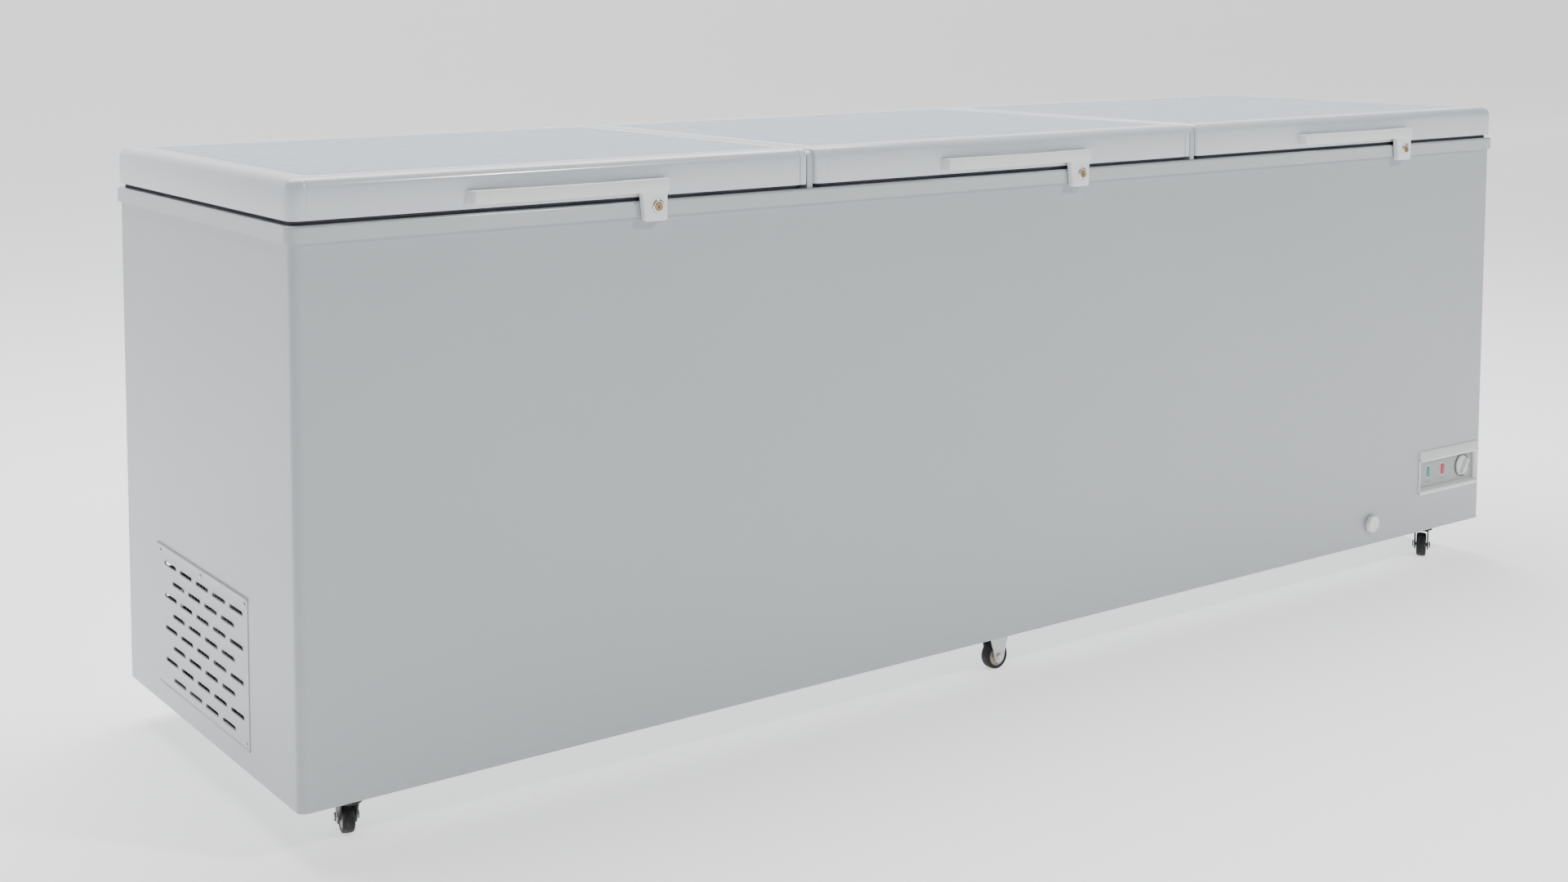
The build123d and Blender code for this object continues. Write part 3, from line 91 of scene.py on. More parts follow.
class CabinetColours(bpy.types.PropertyGroup):
    """Base colours of the finishes that show most."""

    body: FloatVectorProperty(
        name="Body", description="Powder coat of the cabinet", subtype="COLOR", size=3,
        default=(0.43, 0.465, 0.49), min=0, max=1)
    lid_frame: FloatVectorProperty(
        name="Lid frame", description="Moulded border of the lids", subtype="COLOR", size=3,
        default=(0.60, 0.645, 0.69), min=0, max=1)
    # Painted reflection: the lid sheet's colour is the sheet's own pale coat made darker and bluer,
    # standing in for the blue-grey surroundings that the glossy sheet reflects.
    lid_sheet_with_painted_reflection: FloatVectorProperty(
        name="Lid sheet", description="Coated sheet on the lids", subtype="COLOR", size=3,
        default=(0.25, 0.34, 0.47), min=0, max=1)
    handle: FloatVectorProperty(
        name="Handles", description="Moulded handles", subtype="COLOR", size=3,
        default=(0.46, 0.49, 0.51), min=0, max=1)
    # Painted shade: the recessed face is given a grey far below the white hood's, standing in for
    # the shade of the recess under the hood.
    panel: FloatVectorProperty(
        name="Panel face", description="Recessed face of the control panel", subtype="COLOR",
        size=3, default=(0.36, 0.385, 0.38), min=0, max=1)


# ---------------------------------------------------------------- surfaces
def grid_faces(rows, cols, wrap_rows, wrap_cols):
    """Quads between the neighbours of a rows by cols grid, as one index array."""
    row = np.arange(rows if wrap_rows else rows - 1)
    col = np.arange(cols if wrap_cols else cols - 1)
    row, col = np.meshgrid(row, col, indexing="ij")
    next_row, next_col = (row + 1) % rows, (col + 1) % cols
    corners = (row * cols + col, row * cols + next_col,
               next_row * cols + next_col, next_row * cols + col)
    return np.stack(corners, axis=-1).reshape(-1, 4)


def surface(points, wrap_rows=False, wrap_cols=False, caps=False):
    """(points, faces) of a grid of points (rows, cols, 3); caps close the first and last rows."""
    rows, cols = points.shape[:2]
    faces = grid_faces(rows, cols, wrap_rows, wrap_cols).tolist()
    if caps:
        faces.append(list(range(cols))[::-1])
        faces.append(list(range((rows - 1) * cols, rows * cols)))
    return points.reshape(-1, 3), faces


def joined(shapes):
    """One (points, faces) from several, with the indices shifted."""
    points, faces, shift = [], [], 0
    for shape_points, shape_faces in shapes:
        points.append(shape_points)
        faces += [[index + shift for index in face] for face in shape_faces]
        shift += len(shape_points)
    return np.concatenate(points), faces


def mesh_of(name, shape, sharp=35.0, weld=2e-6):
    """Mesh with its doubles merged, its faces outwards and edges over sharp degrees kept crisp."""
    points, faces = shape
    mesh = bpy.data.meshes.new(name)
    mesh.from_pydata(points, [], faces)
    work = bmesh.new()
    work.from_mesh(mesh)
    bmesh.ops.remove_doubles(work, verts=work.verts, dist=weld)
    bmesh.ops.dissolve_degenerate(work, edges=work.edges, dist=weld)
    bmesh.ops.recalc_face_normals(work, faces=work.faces)
    work.to_mesh(mesh)
    work.free()
    mesh.shade_smooth()
    mesh.set_sharp_from_angle(angle=math.radians(sharp))
    return mesh


def piece(name, shape, finish, body, replaced=(), sharp=35.0):
    """A finished piece that rides on a body, with its material."""
    thing = bpy.data.objects.new(name, mesh_of(name, shape, sharp))
    bpy.context.scene.collection.objects.link(thing)
    thing.data.materials.append(bpy.data.materials[finish])
    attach(thing, body)
    if replaced:
        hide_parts(*replaced)
    return thing


def smooth(x, start, end):
    """0 before start, 1 after end, and the cubic 3t^2 - 2t^3 between them."""
    t = np.clip((x - start) / (end - start), 0.0, 1.0)
    return t * t * (3.0 - 2.0 * t)


def bump(x, centre, width):
    """Bell curve exp(-((x - centre) / width)^2)."""
    return np.exp(-((x - centre) / width) ** 2)


def quarter(x):
    """Quarter circle sqrt(1 - (1 - x)^2), from 0 at x = 0 to 1 at x = 1 and beyond."""
    return np.sqrt(1 - (1 - np.clip(x, 0.0, 1.0)) ** 2)


def around(count):
    """Equally spaced angles of a full turn, the last one left out."""
    return np.linspace(0.0, 2 * math.pi, count, endpoint=False)


def arc(start, end, count):
    """Angles in radians from start to end degrees."""
    return np.radians(np.linspace(start, end, count))


def centre_of(low, high):
    """X and Z of the middle of a box."""
    return (low.x + high.x) / 2, (low.z + high.z) / 2


def front_ring(x, y, z, across, up):
    """Closed row of points (x + across, y, z + up), in a plane that faces the front."""
    return np.stack((x + across, np.full(len(across), y), z + up), axis=-1)


def turned(profile, origin, axis, count=48, offset=None):
    """Surface of revolution: origin + along * axis + radius * (u cos a + v sin a).

    profile is (radius, along) pairs; offset(radius, angle) is added along the axis.
    """
    axis = np.asarray(axis, float)
    u = np.cross(axis, (0.0, 0.0, 1.0))
    if np.linalg.norm(u) < 1e-6:
        u = np.array((1.0, 0.0, 0.0))
    u /= np.linalg.norm(u)
    v = np.cross(axis, u)
    profile = np.asarray(profile, float)
    radius, along = profile[:, :1], profile[:, 1:]
    angle = around(count)[None, :]
    along = along + np.zeros_like(angle)
    if offset is not None:
        along = along + offset(radius, angle)
    ring = np.cos(angle)[..., None] * u + np.sin(angle)[..., None] * v
    points = np.asarray(origin) + along[..., None] * axis + (radius + 0 * angle)[..., None] * ring
    return surface(points, wrap_cols=True)


def rounded_loops(sides, low, high, radius, notes=(), steps=6):
    """Stack of rounded rectangles P(s, t), counted from the front left corner anticlockwise.

    sides gives (inset, height) arrays for the front, right, back and left; low and high are
    the plan corners, and notes are x places that the long sides pass through. In a corner
    the point is centre + r (cos a, sin a), and its height turns from one side's to the next's.
    """
    (front, front_z), (right, right_z), (back, back_z), (left, left_z) = sides
    x0, x1 = low[0] + left, high[0] - right
    y0, y1 = low[1] + front, high[1] - back
    least = 0.0004
    corners = (
        (x0, y0, 180, left_z, front_z, np.minimum(left, front), (1, 1), radius[0]),
        (x1, y0, 270, front_z, right_z, np.minimum(front, right), (-1, 1), radius[1]),
        (x1, y1, 0, right_z, back_z, np.minimum(right, back), (-1, -1), radius[1]),
        (x0, y1, 90, back_z, left_z, np.minimum(back, left), (1, -1), radius[0]),
    )
    parts = []
    for index, (x, y, start, z_from, z_to, inset, inwards, plan_radius) in enumerate(corners):
        r = np.maximum(plan_radius - inset, least)[:, None]
        angle = arc(start, start + 90, steps)[None, :]
        share = smooth(angle, angle[0, 0], angle[0, -1])
        px = x[:, None] + inwards[0] * r + r * np.cos(angle)
        py = y[:, None] + inwards[1] * r + r * np.sin(angle)
        pz = z_from[:, None] * (1 - share) + z_to[:, None] * share
        parts.append(np.stack((px, py, pz), axis=-1))
        if index in (0, 2) and len(notes):
            places = np.asarray(notes)[None, :] if index == 0 else np.asarray(notes)[None, ::-1]
            left_r = np.maximum(radius[0] - np.minimum(left, front), least)
            right_r = np.maximum(radius[1] - np.minimum(right, front), least)
            sx = np.clip(places, (x0 + left_r)[:, None], (x1 - right_r)[:, None])
            sy = np.broadcast_to(y[:, None], sx.shape)
            sz = np.broadcast_to(z_to[:, None], sx.shape)
            parts.append(np.stack((sx, sy, sz), axis=-1))
    return np.concatenate(parts, axis=1)


def even_sides(profile):
    """The same (inset, height) profile for all four sides."""
    inset, height = np.asarray(profile, float).T
    return [(inset, height)] * 4


# ---------------------------------------------------------------- finishes
def node_of(tree, kind, place, **values):
    """A shader node with its settings and unlinked inputs."""
    node = tree.nodes.new(kind)
    node.location = place
    for key, value in values.items():
        if hasattr(node, key):
            setattr(node, key, value)
        else:
            node.inputs[key.replace("_", " ")].default_value = value
    return node


def stops(ramp, values):
    """Sets a colour ramp's (position, colour) stops."""
    elements = ramp.color_ramp.elements
    while len(elements) < len(values):
        elements.new(0.5)
    for element, (position, colour) in zip(elements, values):
        element.position = position
        element.color = (*colour, 1.0)


def shade(colour, factor):
    """A colour times a factor, kept within 0 to 1."""
    return tuple(min(1.0, max(0.0, channel * factor)) for channel in colour)


class Finish:
    """Material on Object coordinates: base tone, slow variation, fine relief and roughness."""

    def __init__(self, name, colour, roughness, metallic=0.0, vary=0.03, vary_scale=4.0,
                 rough_vary=0.05, **shader):
        self.material = bpy.data.materials.new(name)
        self.material.use_nodes = True
        self.tree = self.material.node_tree
        self.tree.nodes.clear()
        self.output = node_of(self.tree, "ShaderNodeOutputMaterial", (900, 0))
        self.shader = node_of(self.tree, "ShaderNodeBsdfPrincipled", (600, 0), Metallic=metallic)
        for socket, value in shader.items():
            self.shader.inputs[socket.replace("_", " ")].default_value = value
        self.link(self.shader.outputs[0], self.output.inputs[0])
        self.place = node_of(self.tree, "ShaderNodeTexCoord", (-1100, 0)).outputs["Object"]
        slow = self.noise(vary_scale, 4.0, 0.55)
        tones = node_of(self.tree, "ShaderNodeValToRGB", (-300, 300))
        stops(tones, ((0.3, shade(colour, 1 - vary)), (0.7, shade(colour, 1 + vary))))
        self.link(slow, tones.inputs[0])
        self.colour = tones.outputs[0]
        rough = node_of(self.tree, "ShaderNodeMapRange", (-300, -50))
        rough.inputs["To Min"].default_value = max(0.02, roughness - rough_vary)
        rough.inputs["To Max"].default_value = min(1.0, roughness + rough_vary)
        self.link(self.noise(vary_scale * 7.0, 5.0, 0.6), rough.inputs[0])
        self.rough = rough.outputs[0]
        self.normal = None

    def link(self, source, target):
        self.tree.links.new(source, target)

    def mapped(self, scale):
        """Object coordinates stretched by a scale vector."""
        node = node_of(self.tree, "ShaderNodeMapping", (-900, 200))
        node.inputs["Scale"].default_value = scale
        self.link(self.place, node.inputs[0])
        return node.outputs[0]

    def noise(self, scale, detail=3.0, roughness=0.5, place=None):
        node = node_of(self.tree, "ShaderNodeTexNoise", (-700, 0), Scale=scale, Detail=detail,
                       Roughness=roughness)
        self.link(place or self.place, node.inputs["Vector"])
        return node.outputs["Fac"]

    def cells(self, scale, feature="F1", output="Distance"):
        node = node_of(self.tree, "ShaderNodeTexVoronoi", (-700, -300), Scale=scale)
        node.feature = feature
        self.link(self.place, node.inputs["Vector"])
        return node.outputs[output]

    def waves(self, scale, direction):
        node = node_of(self.tree, "ShaderNodeTexWave", (-700, -600), Scale=scale)
        node.bands_direction = direction
        self.link(self.place, node.inputs["Vector"])
        return node.outputs["Fac"]

    def relief(self, height, strength, distance):
        """Adds a bump on top of what is there."""
        node = node_of(self.tree, "ShaderNodeBump", (200, -300), Strength=strength,
                       Distance=distance)
        self.link(height, node.inputs["Height"])
        if self.normal is not None:
            self.link(self.normal, node.inputs["Normal"])
        self.normal = node.outputs[0]
        return self

    def ranged(self, value, low, high):
        """A value stretched so that low..high becomes 0..1."""
        node = node_of(self.tree, "ShaderNodeMapRange", (-450, -400))
        node.inputs["From Min"].default_value = low
        node.inputs["From Max"].default_value = high
        self.link(value, node.inputs[0])
        return node.outputs[0]

    def times(self, a, b):
        """Product of a value and a number or another value."""
        node = node_of(self.tree, "ShaderNodeMath", (-250, -400), operation="MULTIPLY")
        self.link(a, node.inputs[0])
        if hasattr(b, "is_linked"):
            self.link(b, node.inputs[1])
        else:
            node.inputs[1].default_value = b
        return node.outputs[0]

    def tint(self, amount, colour):
        """Mixes a colour over the base by an amount."""
        node = node_of(self.tree, "ShaderNodeMix", (0, 300), data_type="RGBA")
        self.link(amount, node.inputs["Factor"])
        self.link(self.colour, node.inputs["A"])
        node.inputs["B"].default_value = (*colour, 1.0)
        self.colour = node.outputs["Result"]
        return self

    def roughen(self, amount, add):
        """Adds to the roughness where amount is high."""
        node = node_of(self.tree, "ShaderNodeMath", (100, -50), operation="MULTIPLY_ADD")
        node.use_clamp = True
        self.link(amount, node.inputs[0])
        node.inputs[1].default_value = add
        self.link(self.rough, node.inputs[2])
        self.rough = node.outputs[0]
        return self

    def height(self):
        """Height above the floor."""
        node = node_of(self.tree, "ShaderNodeSeparateXYZ", (-900, -200))
        self.link(self.place, node.inputs[0])
        return node.outputs["Z"]

    def done(self):
        self.link(self.colour, self.shader.inputs["Base Color"])
        self.link(self.rough, self.shader.inputs["Roughness"])
        if self.normal is not None:
            self.link(self.normal, self.shader.inputs["Normal"])
        return self.material


def powder_coat(name, colour):
    """Semi-gloss coat with orange peel, faint sheet waves, and scuffs near the floor."""
    coat = Finish(name, colour, 0.30, vary=0.015, vary_scale=1.6, rough_vary=0.05,
                  Coat_Weight=0.35, Coat_Roughness=0.10)
    coat.relief(coat.noise(2.2, 2.0), 0.20, 0.004)
    coat.relief(coat.noise(420.0, 2.0), 0.10, 0.0004)
    low = coat.ranged(coat.height(), 0.20, 0.075)
    scuffs = coat.ranged(coat.noise(38.0, 6.0, 0.7, coat.mapped((1, 1, 3))), 0.52, 0.80)
    dirt = coat.times(low, scuffs)
    coat.tint(coat.times(dirt, 0.35), (0.30, 0.29, 0.27)).roughen(dirt, 0.25)
    return coat.done()


def moulded(name, colour, roughness=0.22, grain=900.0, peel=0.06, vary=0.015):
    """Injection-moulded plastic: faint flow marks and a fine grain."""
    plastic = Finish(name, colour, roughness, vary=vary, vary_scale=6.0, rough_vary=0.04,
                     Coat_Weight=0.25, Coat_Roughness=0.08)
    plastic.relief(plastic.noise(14.0, 2.0), 0.10, 0.0010)
    plastic.relief(plastic.noise(grain, 2.0), peel, 0.0003)
    specks = plastic.ranged(plastic.noise(70.0, 6.0, 0.7), 0.66, 0.80)
    plastic.tint(plastic.times(specks, 0.10), shade(colour, 0.6))
    return plastic.done()


def lid_sheet_finish(name, colour):
    """Gloss-coated sheet with faint rolled ripples and wipe marks; the base colour it is given
    holds the sheet's own pale coat, darkened and blued further as a painted reflection of the
    surroundings.
    """
    sheet = Finish(name, colour, 0.15, vary=0.02, vary_scale=2.0, rough_vary=0.03,
                   Specular_IOR_Level=0.3, Coat_Weight=0.15, Coat_Roughness=0.04)
    sheet.relief(sheet.noise(3.0, 2.0, 0.4, sheet.mapped((3, 0.8, 1))), 0.22, 0.003)
    sheet.relief(sheet.noise(260.0, 2.0), 0.05, 0.0003)
    wipes = sheet.ranged(sheet.noise(5.0, 6.0, 0.75, sheet.mapped((1.2, 7, 1))), 0.50, 0.72)
    sheet.roughen(wipes, 0.10)
    return sheet.done()


def zinc(name, colour=(0.17, 0.18, 0.18), roughness=0.42):
    """Zinc plate: small crystals, faint dulling and grime in patches."""
    plate = Finish(name, colour, roughness, metallic=0.9, vary=0.10, vary_scale=60.0,
                   rough_vary=0.10)
    crystals = plate.cells(180.0, output="Color")
    plate.tint(plate.times(plate.ranged(crystals, 0.2, 0.9), 0.25), shade(colour, 0.72))
    plate.relief(plate.noise(600.0, 3.0), 0.12, 0.0003)
    stain = plate.ranged(plate.noise(26.0, 6.0, 0.7), 0.58, 0.78)
    plate.tint(plate.times(stain, 0.35), (0.28, 0.24, 0.19)).roughen(stain, 0.2)
    return plate.done()


def galvanised(name):
    """Galvanised sheet with large spangle."""
    sheet = Finish(name, (0.50, 0.52, 0.54), 0.42, metallic=0.85, vary=0.06, vary_scale=12.0,
                   rough_vary=0.12)
    spangle = sheet.cells(55.0, output="Color")
    sheet.tint(sheet.times(sheet.ranged(spangle, 0.1, 0.9), 0.4), (0.36, 0.38, 0.41))
    sheet.relief(sheet.noise(300.0, 2.0), 0.10, 0.0003)
    return sheet.done()


def stucco_aluminium(name):
    """Embossed aluminium of the tub: rounded pebbles and a brushed sheen."""
    sheet = Finish(name, (0.74, 0.76, 0.78), 0.34, metallic=0.85, vary=0.03, vary_scale=8.0)
    sheet.relief(sheet.cells(150.0, "SMOOTH_F1"), 0.55, 0.0009)
    sheet.relief(sheet.noise(420.0, 2.0), 0.10, 0.0003)
    return sheet.done()


def soft_rubber(name, colour, roughness=0.62):
    """Rubber with a fine matte grain and dusty patches."""
    rubber = Finish(name, colour, roughness, vary=0.12, vary_scale=30.0, rough_vary=0.08,
                    Specular_IOR_Level=0.35)
    rubber.relief(rubber.noise(1400.0, 3.0), 0.25, 0.0003)
    dust = rubber.ranged(rubber.noise(90.0, 6.0, 0.75), 0.50, 0.75)
    rubber.tint(rubber.times(dust, 0.25), (0.20, 0.19, 0.18))
    return rubber.done()


def rigid_foam(name):
    """Cut polyurethane foam: amber skin with open cells."""
    foam = Finish(name, (0.72, 0.60, 0.34), 0.9, vary=0.10, vary_scale=20.0)
    foam.relief(foam.cells(900.0), 0.6, 0.0008)
    return foam.done()


def copper(name):
    """Drawn copper with draw lines and brown oxide patches."""
    tube = Finish(name, (0.66, 0.33, 0.20), 0.28, metallic=1.0, vary=0.08, vary_scale=40.0,
                  rough_vary=0.10)
    oxide = tube.ranged(tube.noise(30.0, 6.0, 0.7), 0.45, 0.7)
    tube.tint(tube.times(oxide, 0.6), (0.24, 0.12, 0.08)).roughen(oxide, 0.25)
    tube.relief(tube.noise(900.0, 2.0), 0.15, 0.0003)
    return tube.done()


def black_enamel(name):
    """Black enamel with orange peel and dusty patches."""
    enamel = Finish(name, (0.012, 0.012, 0.013), 0.30, vary=0.10, vary_scale=10.0,
                    Coat_Weight=0.4, Coat_Roughness=0.15)
    enamel.relief(enamel.noise(380.0, 2.0), 0.30, 0.0004)
    dust = enamel.ranged(enamel.noise(18.0, 6.0, 0.7), 0.45, 0.75)
    enamel.tint(enamel.times(dust, 0.15), (0.30, 0.29, 0.27)).roughen(dust, 0.3)
    return enamel.done()


def finned_aluminium(name):
    """Condenser fins, one every 2 mm across the face, with painted shade darkening the gaps between
    them, and lint between them.
    """
    fins = Finish(name, (0.55, 0.56, 0.57), 0.38, metallic=0.85, vary=0.08, vary_scale=20.0)
    lines = fins.waves(78.0, "Y")
    fins.relief(lines, 0.8, 0.001)
    # Painted shade: the wave valleys, where the gaps between the fins lie, are darkened towards
    # near black.
    fins.tint(fins.times(fins.ranged(lines, 0.55, 0.05), 0.8), (0.05, 0.05, 0.05))
    lint = fins.ranged(fins.noise(45.0, 6.0, 0.75), 0.55, 0.8)
    fins.tint(fins.times(lint, 0.5), (0.30, 0.29, 0.27))
    return fins.done()


def lens(name, colour):
    """Clear coloured lens with faint vertical prisms."""
    glass = Finish(name, colour, 0.22, vary=0.10, vary_scale=60.0, Specular_IOR_Level=0.12)
    glass.relief(glass.waves(260.0, "X"), 0.25, 0.0003)
    return glass.done()


def plated(name, colour, roughness=0.18):
    """Bright plated metal with fine turning marks and dull spots."""
    metal = Finish(name, colour, roughness, metallic=1.0, vary=0.05, vary_scale=90.0,
                   rough_vary=0.06)
    metal.relief(metal.noise(1500.0, 2.0), 0.08, 0.0002)
    spots = metal.ranged(metal.noise(140.0, 6.0, 0.7), 0.60, 0.75)
    metal.tint(metal.times(spots, 0.3), shade(colour, 0.5)).roughen(spots, 0.2)
    return metal.done()


def make_finishes(colours):
    """Every finish of the cabinet, named for what wears it."""
    powder_coat("body_coat", colours.body)
    moulded("lid_frame_plastic", colours.lid_frame, 0.16, peel=0.04)
    # The lid sheet's colour carries a painted reflection of the blue-grey surroundings.
    lid_sheet_finish("lid_sheet_coat", colours.lid_sheet_with_painted_reflection)
    moulded("handle_plastic", colours.handle, 0.30, grain=1300.0, peel=0.10)
    moulded("rim_plastic", (0.49, 0.525, 0.55), 0.18)
    moulded("tray_plastic", (0.80, 0.82, 0.83), 0.28, grain=700.0, peel=0.12)
    moulded("panel_plastic", (0.84, 0.88, 0.90), 0.24)
    # Painted shade: the face's grey stands in for the shade of its recess.
    moulded("panel_face_painted_shade", colours.panel, 0.42, grain=1500.0, peel=0.12)
    moulded("dial_ring_plastic", (0.13, 0.135, 0.14), 0.40)
    moulded("knob_plastic", (0.60, 0.64, 0.63), 0.30)
    moulded("drain_plastic", (0.72, 0.76, 0.78), 0.28)
    moulded("hub_plastic", (0.42, 0.36, 0.28), 0.40, vary=0.06)
    moulded("black_plastic", (0.018, 0.018, 0.019), 0.45, peel=0.12)
    moulded("fan_plastic", (0.022, 0.022, 0.024), 0.40, peel=0.12, vary=0.08)
    moulded("mark_ink", (0.09, 0.10, 0.11), 0.60, vary=0.10)
    lens("green_lens", (0.0005, 0.016, 0.018))
    lens("red_lens", (0.06, 0.0005, 0.004))
    zinc("zinc_plate")
    zinc("bolt_zinc", (0.62, 0.63, 0.64), 0.28)
    galvanised("galvanised_sheet")
    stucco_aluminium("tub_aluminium")
    soft_rubber("seal_rubber", (0.020, 0.020, 0.028), 0.55)
    soft_rubber("tyre_rubber", (0.010, 0.010, 0.011), 0.60)
    rigid_foam("foam")
    copper("copper")
    black_enamel("compressor_enamel")
    black_enamel("fork_enamel")
    finned_aluminium("fins")
    plated("lock_chrome", (0.74, 0.73, 0.70), 0.20)
    plated("key_brass", (0.42, 0.30, 0.16), 0.30)


CARRIED = {
    "outer_shell": "body_coat", "top_rim": "rim_plastic", "mullions": "rim_plastic",
    "base_pan": "galvanised_sheet", "base_rails": "galvanised_sheet", "cabinet_foam": "foam",
    "inner_liner": "tub_aluminium", "evaporator_coil": "copper", "refrigerant_lines": "copper",
    "thermostat": "black_plastic", "drain_tube": "drain_plastic", "drain_plug": "seal_rubber",
    "condenser": "fins", "fan_frame": "galvanised_sheet", "fan_blades": "fan_plastic",
    "compressor": "compressor_enamel", "cord_gland": "black_plastic",
    "hinge_bases": "zinc_plate", "hinge_pins": "bolt_zinc", "caster_plates": "zinc_plate",
    "caster_bolts": "bolt_zinc", "fixed_caster_forks": "zinc_plate",
}


def dress_frame():
    """Gives every node that is kept from the frame its finish."""
    chosen = dict(CARRIED)
    for lid in LIDS:
        chosen[f"lid_{lid}_foam"] = "foam"
        chosen[f"lid_{lid}_hinge_arms"] = "zinc_plate"
    for caster in SWIVEL_CASTERS:
        chosen[f"caster_{caster}_fork"] = "fork_enamel"
    for name, finish in chosen.items():
        node, material = frame["nodes"][name], bpy.data.materials[finish]
        if not node.material_slots:
            node.data.materials.append(material)
        for slot in node.material_slots:
            slot.link = "OBJECT"
            slot.material = material


# ---------------------------------------------------------------- lids
def border_profile(high, low, border, edge, drop):
    """Closed section of the lid's border: outside face, round edge, top, seat and inside.

    The round edge is inset = edge (1 - cos a), height = high - edge (1 - sin a).
    """
    wall = 2.2 * MM
    turn = arc(0, 90, 9)
    seat = high - drop - 2.4 * MM
    outside = [(1.6 * MM, low), (0.5 * MM, low + 0.2 * MM), (0.0, low + 1.4 * MM),
               (0.0, high - edge)]
    rounded = np.stack((edge * (1 - np.cos(turn)), high - edge * (1 - np.sin(turn))), axis=1)
    crest = [(border - 3.2 * MM, high), (border - 1.6 * MM, high - 0.15 * MM),
             (border - 0.5 * MM, high - 0.7 * MM), (border, high - 1.6 * MM), (border, seat),
             (border - 1.0 * MM, seat - wall)]
    back = arc(90, 0, 6)
    inner_edge = edge - wall
    inside = np.stack((wall + inner_edge * (1 - np.cos(back)),
                       high - wall - inner_edge * (1 - np.sin(back)) - 1.0 * MM), axis=1)
    foot = [(wall, low + 1.0 * MM)]
    rows = np.concatenate((outside, rounded, crest, inside, foot))
    return rows[:, 0], rows[:, 1]


def carve(points, places, depths, width, centre_y, faces_y, reach):
    """Sinks grooves across the long faces: depth * exp(-((x - place) / width)^2), inwards."""
    x, y, z = points[..., 0], points[..., 1], points[..., 2]
    near = 1.0 - smooth(faces_y - np.abs(y - centre_y), reach * 0.6, reach)
    sink = sum(depth * bump(x, place, width) for place, depth in zip(places, depths)) * near
    points[..., 1] = y + np.sign(centre_y - y) * sink
    points[..., 2] = z - sink * smooth(faces_y - np.abs(y - centre_y), 0.0, reach * 0.5)
    return points


